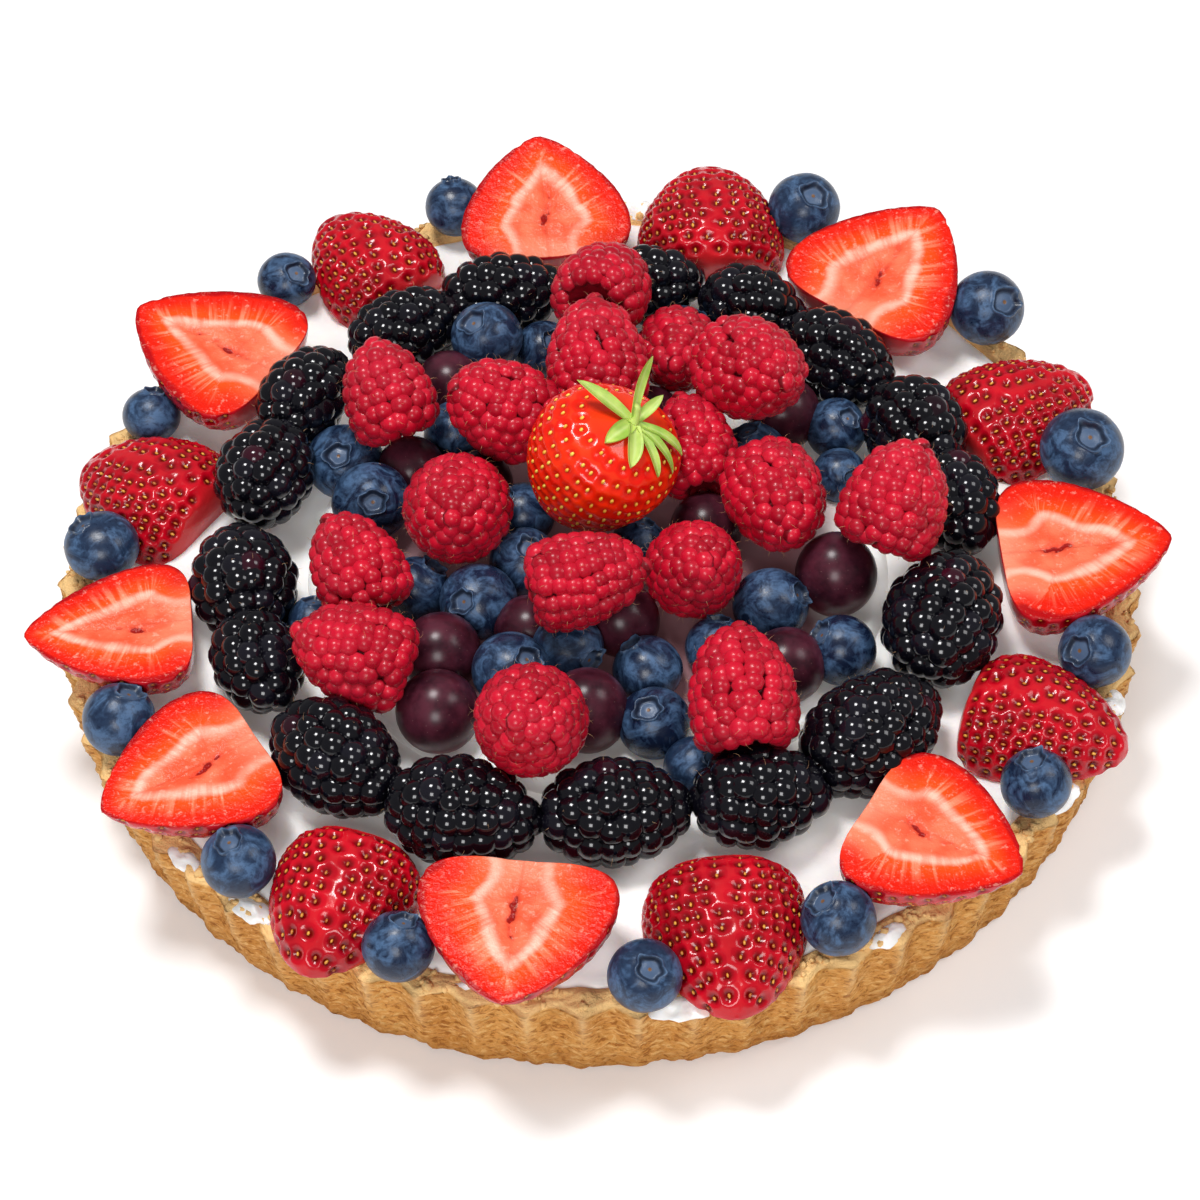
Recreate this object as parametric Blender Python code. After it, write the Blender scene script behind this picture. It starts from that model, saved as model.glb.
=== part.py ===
"""A round berry tart: a fluted shortcrust shell filled with white cream, an outer ring of halved strawberries and
blueberries, a ring of brambles, and a heap of raspberries, blueberries and dark grapes round a whole strawberry.

Sizes in the tables are millimetres and degrees; azimuth 0 is +X and the front of the tart is -Y."""

import math

import bmesh
import bpy
import numpy as np
from mathutils import Euler, Vector
from mathutils.bvhtree import BVHTree

MM = 0.001

# Crust: the size of a 24 cm fluted loose-bottom tin
FOOT_RADIUS = 114.4
RIM_RADIUS = 119.4
CRUST_HEIGHT = 26.0
WALL_THICKNESS = 7.6
FLOOR_THICKNESS = 5.0
FLUTES = 66
FLUTE_DEPTH = 1.3
STEPS_PER_FLUTE = 4
RIM_ROUGHNESS = 0.5
RIM_ROUNDING = 1.8

# Cream
CREAM_TOP = 24.1
CREAM_WAVE = 0.35
CREAM_SIDES = 48
CREAM_RINGS = (100, 80, 55)

# Room that is kept between any two pieces
CLEARANCE = 0.35

# Heap: a low core that the small berries are fused to
CORE_RADIUS = 64.5
CORE_FLOOR = 24.9
CORE_TOP = 30.4
CORE_EDGE = 27.6
CORE_CROWN_SHARE = 0.72
CORE_SIDES = 24

# Strawberry halves: azimuth, radius, heading of the tip, length, width, face up, lift of the tip
STRAWBERRY_HALVES = [
    (96, 105.5, 94, 34, 40, "cut", 14),
    (74, 108.5, 90, 32, 35, "skin", 16),
    (47, 106.5, 50, 37, 42, "cut", 9),
    (22, 106.5, 27, 35, 32, "skin", 8),
    (-6, 106.5, 2, 37, 40, "cut", 3),
    (-29, 107.5, -23, 35, 31, "skin", 4),
    (-52, 106.5, -31, 35, 37, "cut", -1),
    (-77, 107, -87, 35, 33.5, "skin", 3),
    (-100, 109, -98, 34, 40.5, "cut", -3),
    (-121, 108.5, -110, 33, 30.5, "skin", 3),
    (-143, 107.5, -150, 36, 36, "cut", -1),
    (-166, 106.5, -175, 36, 33, "cut", -1),
    (167, 104.5, 148, 34, 33, "skin", 5),
    (147, 101.5, 149, 38, 39, "cut", 4),
    (119.5, 108.5, 128, 32, 30, "skin", 13),
]
CUT_DEPTH_SHARE = 0.34
DOME_SHARE = 0.42
SHOULDER_POWER = 0.24
TIP_POWER = 0.74

# Blueberries on the rim: azimuth, radius, diameter, height as a share of it
RIM_BLUEBERRIES = [
    (106, 113, 14.2, 0.98),
    (64, 115, 17.0, 0.96),
    (38, 112, 17.4, 0.98),
    (12, 110, 18.8, 0.96),
    (-18, 110, 15.6, 0.98),
    (-38, 113, 14.8, 0.98),
    (-65.5, 112, 15.4, 0.98),
    (-86.5, 115, 15.0, 0.97),
    (-111.5, 114, 14.6, 0.98),
    (-132, 112, 15.4, 0.94),
    (-157, 110, 15.6, 0.98),
    (178, 108, 16.6, 0.84),
    (155, 109, 13.2, 0.92),
    (129.5, 112, 14.0, 0.86),
]

# Brambles: azimuth, radius, length, width, heading; a pair that touches shares one name
BRAMBLES = [
    ("bramble_01", 104.5, 78, 29, 19, 10),
    ("bramble_01", 123, 77, 28, 19, 28),
    ("bramble_02", 80, 80, 25, 18, 5),
    ("bramble_03", 62, 80, 25, 18, -25),
    ("bramble_03", 43, 77, 30, 21, -45),
    ("bramble_04", 23, 76, 26, 22, -66),
    ("bramble_04", 5.5, 77, 26, 20, -78),
    ("bramble_05", -20, 77, 32, 25, 70),
    ("bramble_06", -46, 79, 33, 24, 38),
    ("bramble_06", -67, 79, 28, 21, 5),
    ("bramble_07", -88, 76, 31, 22, 4),
    ("bramble_08", -111, 78, 32, 23, -14),
    ("bramble_08", -133, 79, 31, 23, -42),
    ("bramble_09", -154, 80, 25, 19, -66),
    ("bramble_09", -171, 77, 27, 23, 100),
    ("bramble_10", 166, 73, 27, 21, 72),
    ("bramble_10", 147, 75, 27, 19, 62),
]
BRAMBLE_HEIGHT = 34.5
BRAMBLE_KNOB = 0.05

# Raspberries: x, y, z of the middle, length, width, heading of the tip, rise of the tip
RASPBERRIES = [
    (-45, 30.5, 48, 23, 20.5, 115, 40),
    (-19.5, 25.5, 49, 24, 22, 175, 35),
    (-30.5, -0.5, 44, 25, 24, -90, 40),
    (-52, -15, 46, 24, 20.5, 120, 30),
    (-49.5, -41, 44.5, 26, 22, 170, 20),
    (-1.5, -26, 51.5, 26, 20.5, 12, 5),
    (19.5, -17.5, 42, 23, 21, -80, 55),
    (-15.5, -65, 50, 26, 23.5, -100, 50),
    (40, -2, 43, 26, 22, -75, 10),
    (63, -8.5, 51.5, 25, 23, 60, 40),
    (35.5, 32, 52, 26, 23, -50, 25),
    (17, 49.5, 40, 23, 19, -90, 30),
    (0.5, 40, 51, 26, 23, 95, 30),
    (4, 65.5, 47.5, 24, 22, 85, 20),
    (21.5, 14.5, 40, 24, 18.5, 100, 20),
    (29.5, -57, 45.5, 27, 23, 95, 30),
]
RASPBERRY_KNOB = 0.045

# Small berries fused into the heap: x, y, z, diameter, height share
HEAP_BLUEBERRIES = [
    (-24, 59.5, 38.5, 16.4, 0.97),
    (-11, 61.5, 31.5, 14.0, 0.97),
    (-56, 27, 33.0, 17.6, 0.92),
    (-49.5, 12, 36.0, 17.6, 0.95),
    (-31, 35.5, 31.5, 15.0, 0.97),
    (-16, 11, 31.5, 14.0, 0.97),
    (-15, -4, 32.0, 15.4, 0.97),
    (-39.5, -10.5, 31.5, 14.5, 0.97),
    (-26, -16, 33.5, 17.0, 0.95),
    (-7, -31, 35.0, 15.6, 0.90),
    (-19, -38, 36.5, 16.8, 0.95),
    (10, -35, 32.0, 15.0, 0.93),
    (11, -50.5, 33.0, 15.6, 0.98),
    (19, -61, 30.5, 13.0, 0.96),
    (25, -29, 31.0, 14.0, 0.93),
    (37, -19, 33.0, 16.6, 0.97),
    (51.5, -32, 33.0, 15.0, 1.04),
    (54.5, 34, 31.5, 14.0, 1.0),
    (36, 27, 31.0, 14.2, 0.97),
    (54.5, 20.5, 30.5, 12.4, 0.97),
    (9, 1, 30.5, 12.6, 0.97),
    (21, 64.5, 32, 14.4, 0.97),
    (-62, -18, 30.0, 11.4, 0.97),
]
HEAP_GRAPES = [
    (-34.5, -46.5, 33.5, 18.0, 1.0),
    (-3, -48, 33.5, 17.4, 1.12),
    (-34, -30, 33.0, 17.4, 1.0),
    (5, -22, 32.5, 16.2, 1.0),
    (-15, -24, 32.0, 15.6, 1.0),
    (51.5, -12, 33.5, 18.0, 1.08),
    (43, 38, 32.5, 16.6, 1.0),
    (39.5, -36, 32.5, 16.6, 1.0),
    (-32.5, 50, 32.0, 16.0, 1.0),
    (-41, 24, 31.5, 15.6, 1.0),
    (-26, 19, 31.5, 15.6, 1.0),
    (24, 4, 32.0, 16.0, 1.0),
    (12.5, 37, 32.0, 16.0, 1.0),
]
HEAP_BERRY_DETAIL = 2

# Whole strawberry in the middle
CENTRE_PLACE = (2.9, 12.6, 48.3)
CENTRE_LENGTH = 35.0
CENTRE_WIDTH = 33.0
CENTRE_AXIS = (0.49, -0.10, 0.87)
SEPALS = 8
SEPAL_LENGTH = 12.5
HUB_RADIUS = 3.0
SEPAL_THICKNESS = 0.7
STALK_LENGTH = 5.5
STALK_RADIUS = 0.9

# Settling: pieces start small at their own places, grow, and push each other apart
SETTLE_PASSES = 260
GROWING_PASSES = 70
HOMING_PASSES = 100
FIRST_SIZE = 0.7
HOMING_SHARE = 0.06
LONGEST_STEP = 0.5
SAMPLE_SPACING = 3.0
SMALLEST_PUSH = 0.002
PROBE = Vector((0.123, 0.071, 0.99)).normalized()
PROBE_STEP = 1e-6


def clear_scene():
    for item in list(bpy.data.objects):
        bpy.data.objects.remove(item, do_unlink=True)


def paint(name, colour, roughness, coat=0.0):
    material = bpy.data.materials.new(name)
    material.use_nodes = True
    surface = material.node_tree.nodes["Principled BSDF"]
    surface.inputs["Base Color"].default_value = (*colour, 1.0)
    surface.inputs["Roughness"].default_value = roughness
    surface.inputs["Metallic"].default_value = 0.0
    surface.inputs["Coat Weight"].default_value = coat
    return material


def make_object(name, mesh_data, material, smooth=True):
    mesh = bpy.data.meshes.new(name)
    bmesh.ops.triangulate(mesh_data, faces=mesh_data.faces)
    mesh_data.to_mesh(mesh)
    mesh_data.free()
    mesh.materials.append(material)
    if smooth:
        mesh.shade_smooth()
    piece = bpy.data.objects.new(name, mesh)
    bpy.context.scene.collection.objects.link(piece)
    return piece


def span_rings(mesh_data, lower, upper):
    """Faces between two rings of equal length, or between a ring and a pole of one vertex."""
    if len(lower) == 1 or len(upper) == 1:
        ring = upper if len(lower) == 1 else lower
        pole = lower[0] if len(lower) == 1 else upper[0]
        for step in range(len(ring)):
            after = (step + 1) % len(ring)
            if len(lower) == 1:
                mesh_data.faces.new((pole, ring[after], ring[step]))
            else:
                mesh_data.faces.new((ring[step], ring[after], pole))
        return
    for step in range(len(lower)):
        after = (step + 1) % len(lower)
        mesh_data.faces.new((lower[step], lower[after], upper[after], upper[step]))


def loft(rings):
    """A closed body through rings of points, in millimetres; the first and last are poles or are capped flat."""
    mesh_data = bmesh.new()
    made = [[mesh_data.verts.new(Vector(point) * MM) for point in ring] for ring in rings]
    for lower, upper in zip(made, made[1:]):
        span_rings(mesh_data, lower, upper)
    for ring in (made[0], made[-1]):
        if len(ring) > 1:
            mesh_data.faces.new(ring)
    bmesh.ops.recalc_face_normals(mesh_data, faces=mesh_data.faces)
    return mesh_data


def polar(radius, angle, height):
    return (radius * math.cos(angle), radius * math.sin(angle), height)


def crust_ring(radius, height, depth, roughness=0.0):
    """One ring of the fluted outside; depth is the flutes' depth there."""
    count = FLUTES * STEPS_PER_FLUTE
    ring = []
    for step in range(count):
        angle = math.tau * step / count
        flute = depth * math.cos(math.tau * step / STEPS_PER_FLUTE)
        uneven = roughness * (math.sin(7 * angle + 1.0) + 0.7 * math.sin(23 * angle) + 0.5 * math.sin(41 * angle))
        ring.append(polar(radius + flute, angle, height + uneven))
    return ring


def plain_ring(radius, height, sides, wave=0.0, turns=5):
    ring = []
    for step in range(sides):
        angle = math.tau * step / sides
        ring.append(polar(radius, angle, height + wave * math.sin(turns * angle + radius)))
    return ring


def make_crust(material):
    """A thick shell whose flutes fade towards the foot and whose rim is uneven."""
    shell = bmesh.new()
    edge_height = CRUST_HEIGHT - RIM_ROUNDING
    outside = [
        crust_ring(FOOT_RADIUS, 0.0, 0.3 * FLUTE_DEPTH),
        crust_ring(RIM_RADIUS - FLUTE_DEPTH, edge_height, FLUTE_DEPTH, RIM_ROUGHNESS),
        crust_ring(RIM_RADIUS - FLUTE_DEPTH - RIM_ROUNDING, CRUST_HEIGHT - RIM_ROUGHNESS, 0.6 * FLUTE_DEPTH,
                   RIM_ROUGHNESS),
    ]
    rings = [[shell.verts.new(Vector(point) * MM) for point in ring] for ring in outside]
    for lower, upper in zip(rings, rings[1:]):
        span_rings(shell, lower, upper)
    shell.faces.new(list(reversed(rings[0])))
    inner_radius = RIM_RADIUS - WALL_THICKNESS
    lip = [shell.verts.new(Vector(p) * MM) for p in plain_ring(inner_radius, CRUST_HEIGHT - 1.3, FLUTES)]
    floor = [shell.verts.new(Vector(p) * MM) for p in plain_ring(inner_radius - 2.5, FLOOR_THICKNESS, FLUTES)]
    crest = rings[-1]
    for flute in range(FLUTES):
        after = (flute + 1) % FLUTES
        first = flute * STEPS_PER_FLUTE
        for step in range(STEPS_PER_FLUTE):
            near = crest[(first + step) % len(crest)]
            far = crest[(first + step + 1) % len(crest)]
            anchor = lip[flute] if step < STEPS_PER_FLUTE // 2 else lip[after]
            shell.faces.new((near, far, anchor))
        middle = crest[first + STEPS_PER_FLUTE // 2]
        shell.faces.new((middle, lip[after], lip[flute]))
    span_rings(shell, lip, floor)
    shell.faces.new(floor)
    bmesh.ops.recalc_face_normals(shell, faces=shell.faces)
    return make_object("crust", shell, material)


def make_cream(material):
    """The filling, up to a softly waved surface just under the rim."""
    wall_gap = CLEARANCE
    bottom_radius = RIM_RADIUS - WALL_THICKNESS - 2.5 - wall_gap
    top_radius = RIM_RADIUS - WALL_THICKNESS - wall_gap
    share = (CREAM_TOP - 0.6 - FLOOR_THICKNESS) / (CRUST_HEIGHT - 1.3 - FLOOR_THICKNESS)
    edge_radius = bottom_radius + share * (top_radius - bottom_radius) - 0.1
    rings = [
        plain_ring(bottom_radius, FLOOR_THICKNESS + CLEARANCE, CREAM_SIDES),
        plain_ring(edge_radius, CREAM_TOP - 0.6, CREAM_SIDES),
    ]
    for number, radius in enumerate(CREAM_RINGS):
        rings.append(plain_ring(radius, CREAM_TOP, CREAM_SIDES, CREAM_WAVE, 5 + 2 * number))
    rings.append([(0.0, 0.0, CREAM_TOP)])
    return make_object("cream", loft(rings), material)


def fruit_width(share):
    """Half width of a strawberry along its axis, as a share of the widest; 0 is the calyx end and 1 the tip."""
    peak = SHOULDER_POWER / (SHOULDER_POWER + TIP_POWER)
    highest = peak**SHOULDER_POWER * (1 - peak) ** TIP_POWER
    return share**SHOULDER_POWER * (1 - share) ** TIP_POWER / highest


AXIS_SHARES = (0.004, 0.05, 0.16, 0.32, 0.5, 0.68, 0.84, 0.95)
HALF_STEPS = 7


def make_strawberry_half(name, length, width, depth, material):
    """A half cut along its axis, tip at +X, with the flat cut at z = 0 and the round side below."""
    rings = [[(-0.5 * length, 0.0, -0.12 * depth)]]
    for share in AXIS_SHARES:
        along = (share - 0.5) * length
        half = fruit_width(share)
        ring = []
        for step in range(HALF_STEPS + 1):
            angle = math.pi * step / HALF_STEPS
            across = 0.5 * width * half * math.cos(angle)
            ring.append((along, across, -depth * half * math.sin(angle)))
        rings.append(ring)
    rings.append([(0.5 * length, 0.0, -0.05 * depth)])
    return make_object(name, loft(rings), material)


def make_round_berry(name, diameter, share, material, detail=2):
    ball = bmesh.new()
    bmesh.ops.create_icosphere(ball, subdivisions=detail, radius=0.5 * diameter * MM)
    for vertex in ball.verts:
        vertex.co.z *= share
    return make_object(name, ball, material)


def knobbed_rings(profile, length, width, sides, knob):
    """Rings round the X axis; the points stand in and out in turn, as drupelets do."""
    rings = []
    for number, (along, half) in enumerate(profile):
        if half == 0.0:
            rings.append([((along - 0.5) * length, 0.0, 0.0)])
            continue
        ring = []
        for step in range(sides):
            angle = math.tau * step / sides
            swell = 1 + knob * (1 if (step + number) % 2 else -1)
            radius = 0.5 * width * half * swell
            ring.append(((along - 0.5) * length, radius * math.cos(angle), radius * math.sin(angle)))
        rings.append(ring)
    return rings


# Places along a berry, and its half width there, both as shares; a raspberry starts in the hollow of its hull end
RASPBERRY_PROFILE = [
    (0.18, 0.0), (0.01, 0.62), (0.10, 0.92), (0.32, 1.0), (0.56, 0.93), (0.78, 0.72), (0.93, 0.4), (1.0, 0.0),
]
BRAMBLE_PROFILE = [
    (0.0, 0.0), (0.06, 0.5), (0.24, 0.88), (0.5, 1.0), (0.77, 0.8), (0.95, 0.38), (1.0, 0.0),
]
KNOB_SIDES = 10


def make_raspberry(name, length, width, material):
    rings = knobbed_rings(RASPBERRY_PROFILE, length, width, KNOB_SIDES, RASPBERRY_KNOB)
    return make_object(name, loft(rings), material)


def make_bramble(name, length, width, material):
    rings = knobbed_rings(BRAMBLE_PROFILE, length, width, KNOB_SIDES, BRAMBLE_KNOB)
    return make_object(name, loft(rings), material)


def make_whole_strawberry(material):
    """Calyx end at +Z, tip at -Z, with a shallow dimple under the calyx."""
    rings = [[(0.0, 0.0, 0.44 * CENTRE_LENGTH)]]
    sides = 14
    for share in (0.02, 0.1, 0.24, 0.4, 0.56, 0.72, 0.86, 0.96):
        radius = 0.5 * CENTRE_WIDTH * fruit_width(share)
        rings.append(plain_ring(radius, (0.5 - share) * CENTRE_LENGTH, sides))
    rings.append([(0.0, 0.0, -0.5 * CENTRE_LENGTH)])
    return make_object("strawberry_whole", loft(rings), material)


def sepal_reach(step, steps_per_sepal):
    """How far a point of the calyx reaches, from the notch between two sepals to a sepal's tip."""
    share = abs((step % steps_per_sepal) - steps_per_sepal / 2) / (steps_per_sepal / 2)
    number = step // steps_per_sepal
    length = SEPAL_LENGTH * (1.0 - 0.14 * (number % 3))
    return HUB_RADIUS + (length - HUB_RADIUS) * (1 - share) ** 1.3


def make_calyx(material):
    """A star of thin sepals, curled up at their tips, with a short stalk on top."""
    steps_per_sepal = 2
    count = SEPALS * steps_per_sepal

    def ring(share, height_offset):
        points = []
        for step in range(count):
            angle = math.tau * step / count
            reach = HUB_RADIUS + share * (sepal_reach(step, steps_per_sepal) - HUB_RADIUS)
            out = reach - HUB_RADIUS
            curl = 0.035 * out * out - 0.10 * out + 0.4 * math.sin(3 * angle)
            points.append(polar(reach, angle, height_offset + curl))
        return points

    half = 0.5 * SEPAL_THICKNESS
    rings = [
        [(0.0, 0.0, STALK_LENGTH)],
        plain_ring(STALK_RADIUS, STALK_LENGTH, count),
        plain_ring(STALK_RADIUS, half, count),
        ring(0.0, half),
        ring(0.55, half),
        ring(1.0, 0.0),
        ring(0.55, -half),
        ring(0.0, -half),
        [(0.0, 0.0, -half)],
    ]
    return make_object("strawberry_calyx", loft(rings), material)


def fuse(target, others):
    """Joins the others to the target with one union, keeps the largest shell and removes the others."""
    group = bpy.data.collections.new(target.name + "_fused")
    for piece in others:
        group.objects.link(piece)
    join = target.modifiers.new("join", "BOOLEAN")
    join.operation = "UNION"
    join.operand_type = "COLLECTION"
    join.collection = group
    join.solver = "EXACT"
    bpy.context.view_layer.update()
    evaluated = target.evaluated_get(bpy.context.evaluated_depsgraph_get())
    fused = bmesh.new()
    fused.from_mesh(evaluated.to_mesh())
    evaluated.to_mesh_clear()
    target.modifiers.remove(join)
    keep_largest_shell(fused)
    bmesh.ops.triangulate(fused, faces=fused.faces)
    fused.to_mesh(target.data)
    fused.free()
    target.data.shade_smooth()
    for piece in others:
        bpy.data.objects.remove(piece, do_unlink=True)
    bpy.data.collections.remove(group)
    return target


def keep_largest_shell(fused):
    """Fills sealed hollows and drops loose scraps: both are shells other than the largest."""
    left = set(fused.verts)
    shells = []
    while left:
        shell = {left.pop()}
        edge_of_shell = list(shell)
        while edge_of_shell:
            vertex = edge_of_shell.pop()
            for edge in vertex.link_edges:
                other = edge.other_vert(vertex)
                if other not in shell:
                    shell.add(other)
                    edge_of_shell.append(other)
        left -= shell
        shells.append(shell)
    shells.sort(key=len)
    for shell in shells[:-1]:
        bmesh.ops.delete(fused, geom=list(shell), context="VERTS")


def is_within(tree, point):
    """Whether the point is inside the closed body: a line from it then leaves the body an odd number of times."""
    crossings = 0
    start = point
    while True:
        hit = tree.ray_cast(start, PROBE)[0]
        if hit is None:
            return crossings % 2 == 1
        crossings += 1
        start = hit + PROBE * PROBE_STEP


class Settler:
    """A piece as the settling sees it: its points about its own place, and a tree for nearest points."""

    def __init__(self, piece, moves):
        bpy.context.view_layer.update()
        turn = piece.matrix_world.to_3x3()
        self.piece = piece
        self.moves = moves
        self.size = 1.0
        self.place = piece.matrix_world.translation.copy()
        self.home = self.place.copy()
        points = [turn @ vertex.co for vertex in piece.data.vertices]
        faces = [tuple(polygon.vertices) for polygon in piece.data.polygons]
        self.tree = BVHTree.FromPolygons(points, faces)
        between = []
        for edge in piece.data.edges:
            start, end = points[edge.vertices[0]], points[edge.vertices[1]]
            samples = int((end - start).length / (SAMPLE_SPACING * MM))
            between += [start.lerp(end, (sample + 1) / (samples + 1)) for sample in range(samples)]
        self.points = np.array(points + between)
        self.low = self.points.min(axis=0)
        self.high = self.points.max(axis=0)

    def near(self, other, room):
        gap = np.array(self.place - other.place)
        reaches_up = np.all(self.high * self.size + gap > other.low * other.size - room)
        reaches_down = np.all(self.low * self.size + gap < other.high * other.size + room)
        return bool(reaches_up and reaches_down)

    def push_out_of(self, other, room):
        """The shift that takes this piece's deepest point out of the other piece."""
        offset = np.array(self.place - other.place)
        local = (self.points * self.size + offset) / other.size
        inside = np.all((local > other.low - room) & (local < other.high + room), axis=1)
        deepest, push = 0.0, Vector()
        for row in local[inside]:
            point = Vector(row)
            nearest, normal, _, distance = other.tree.find_nearest(point)
            is_inside = (point - nearest).dot(normal) < 0 and is_within(other.tree, point)
            depth = room + (distance if is_inside else -distance) * other.size
            if depth > deepest:
                away = normal if is_inside or distance < 1e-9 else (point - nearest).normalized()
                deepest, push = depth, away * depth
        return deepest, push


def settle(pieces):
    """Grows the loose pieces and pushes apart those that are too close; a fixed piece never pushes down."""
    room = CLEARANCE * MM
    for number in range(SETTLE_PASSES):
        grown = min(1.0, number / GROWING_PASSES)
        if number < HOMING_PASSES:
            for item in pieces:
                if item.moves:
                    item.size = FIRST_SIZE + (1 - FIRST_SIZE) * grown
                    item.place += (item.home - item.place) * HOMING_SHARE
        busy = False
        for index, first in enumerate(pieces):
            for second in pieces[index + 1:]:
                if not (first.moves or second.moves) or not first.near(second, room):
                    continue
                depth_a, push_a = first.push_out_of(second, room)
                depth_b, push_b = second.push_out_of(first, room)
                if max(depth_a, depth_b) <= SMALLEST_PUSH * MM:
                    continue
                busy = True
                push = push_a if depth_a >= depth_b else -push_b
                if push.length > LONGEST_STEP * MM:
                    push = push.normalized() * (LONGEST_STEP * MM)
                share = 0.5 if first.moves and second.moves else 1.0
                if not first.moves:
                    push.z = -abs(push.z)
                if first.moves:
                    first.place += push * share
                if second.moves:
                    second.place -= push * share
        if not busy and number > HOMING_PASSES:
            break
    for item in pieces:
        if item.moves:
            item.piece.location = item.place


def place_berry(piece, position, heading, rise=0.0):
    """Turns +X of the piece to the heading, lifts it by rise, and puts its middle at the position."""
    piece.rotation_euler = Euler((0.0, -math.radians(rise), math.radians(heading)), "XYZ")
    piece.location = Vector(position) * MM


def make_strawberry_halves(material):
    pieces = []
    for number, row in enumerate(STRAWBERRY_HALVES, start=1):
        azimuth, radius, heading, length, width, face, lift = row
        share = CUT_DEPTH_SHARE if face == "cut" else DOME_SHARE
        depth = share * width
        half = make_strawberry_half(f"strawberry_half_{number:02d}", length, width, depth, material)
        height = CREAM_TOP + 1.5 + (depth if face == "cut" else 0.45 * length * math.sin(math.radians(lift)))
        place_berry(half, polar(radius, math.radians(azimuth), height), heading, lift)
        if face == "skin":
            half.rotation_euler = Euler((math.pi, math.radians(-lift), math.radians(heading)), "XYZ")
        pieces.append(half)
    return pieces


def make_rim_blueberries(material):
    pieces = []
    for number, (azimuth, radius, diameter, share) in enumerate(RIM_BLUEBERRIES, start=1):
        berry = make_round_berry(f"blueberry_{number:02d}", diameter, share, material)
        height = CREAM_TOP + 2.5 + 0.5 * diameter * share
        place_berry(berry, polar(radius, math.radians(azimuth), height), azimuth)
        pieces.append(berry)
    return pieces


def make_bramble_ring(material):
    pieces = {}
    for name, azimuth, radius, length, width, heading in BRAMBLES:
        label = name if name not in pieces else name + "_partner"
        berry = make_bramble(label, length, width, material)
        place_berry(berry, polar(radius, math.radians(azimuth), BRAMBLE_HEIGHT), heading)
        if label == name:
            pieces[name] = berry
        else:
            bpy.context.view_layer.update()
            fuse(pieces[name], [berry])
    return list(pieces.values())


def make_raspberries(material):
    pieces = []
    for number, (x, y, z, length, width, heading, rise) in enumerate(RASPBERRIES, start=1):
        berry = make_raspberry(f"raspberry_{number:02d}", length, width, material)
        place_berry(berry, (x, y, z), heading, rise)
        pieces.append(berry)
    return pieces


def make_heap(material):
    """The low core with the small blueberries and grapes fused on."""
    core_rings = [
        plain_ring(CORE_RADIUS, CORE_FLOOR, CORE_SIDES),
        plain_ring(CORE_RADIUS - 1.5, CORE_EDGE, CORE_SIDES),
        plain_ring(CORE_CROWN_SHARE * CORE_RADIUS, CORE_TOP, CORE_SIDES),
        [(0.0, 0.0, CORE_TOP)],
    ]
    core = make_object("berry_heap", loft(core_rings), material)
    berries = []
    for number, (x, y, z, diameter, share) in enumerate(HEAP_BLUEBERRIES + HEAP_GRAPES):
        berry = make_round_berry(f"heap_berry_{number:02d}", diameter, share, material, HEAP_BERRY_DETAIL)
        height = max(z, CORE_FLOOR + 0.5 * diameter * share)
        place_berry(berry, (x, y, height), 47.0 * number)
        berries.append(berry)
    return fuse(core, berries)


def main():
    clear_scene()
    pastry = paint("pastry", (0.76, 0.50, 0.24), 0.75)
    cream_white = paint("cream", (0.92, 0.90, 0.87), 0.4)
    strawberry_red = paint("strawberry", (0.70, 0.02, 0.02), 0.22, 0.6)
    blueberry_blue = paint("blueberry", (0.05, 0.09, 0.20), 0.5)
    bramble_black = paint("bramble", (0.012, 0.010, 0.016), 0.22, 0.5)
    raspberry_pink = paint("raspberry", (0.55, 0.02, 0.06), 0.38, 0.2)
    leaf_green = paint("leaf", (0.30, 0.48, 0.07), 0.5)

    fixed = [make_crust(pastry), make_cream(cream_white), make_heap(blueberry_blue)]
    loose = make_bramble_ring(bramble_black)
    loose += make_strawberry_halves(strawberry_red)
    loose += make_rim_blueberries(blueberry_blue)
    loose += make_raspberries(raspberry_pink)

    centre = make_whole_strawberry(strawberry_red)
    centre_turn = Vector((0.0, 0.0, 1.0)).rotation_difference(Vector(CENTRE_AXIS).normalized())
    centre.rotation_euler = centre_turn.to_euler()
    centre.location = Vector(CENTRE_PLACE) * MM
    loose.append(centre)

    settlers = [Settler(piece, False) for piece in fixed] + [Settler(piece, True) for piece in loose]
    settle(settlers)

    calyx = make_calyx(leaf_green)
    calyx.rotation_euler = centre.rotation_euler
    lift = (0.49 * CENTRE_LENGTH + 0.5 * SEPAL_THICKNESS + 0.5) * MM
    calyx.location = centre.location + (centre_turn @ Vector((0.0, 0.0, lift)))


main()
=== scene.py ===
"""Looks of the berry tart: every fruit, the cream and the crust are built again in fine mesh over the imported
model.

Sizes in the tables are millimetres and degrees; azimuth 0 is +X and the front of the tart is -Y."""

import math

import bpy
import numpy as np
from mathutils import Euler, Matrix, Vector
from mathutils.kdtree import KDTree
from mathutils.noise import noise


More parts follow.
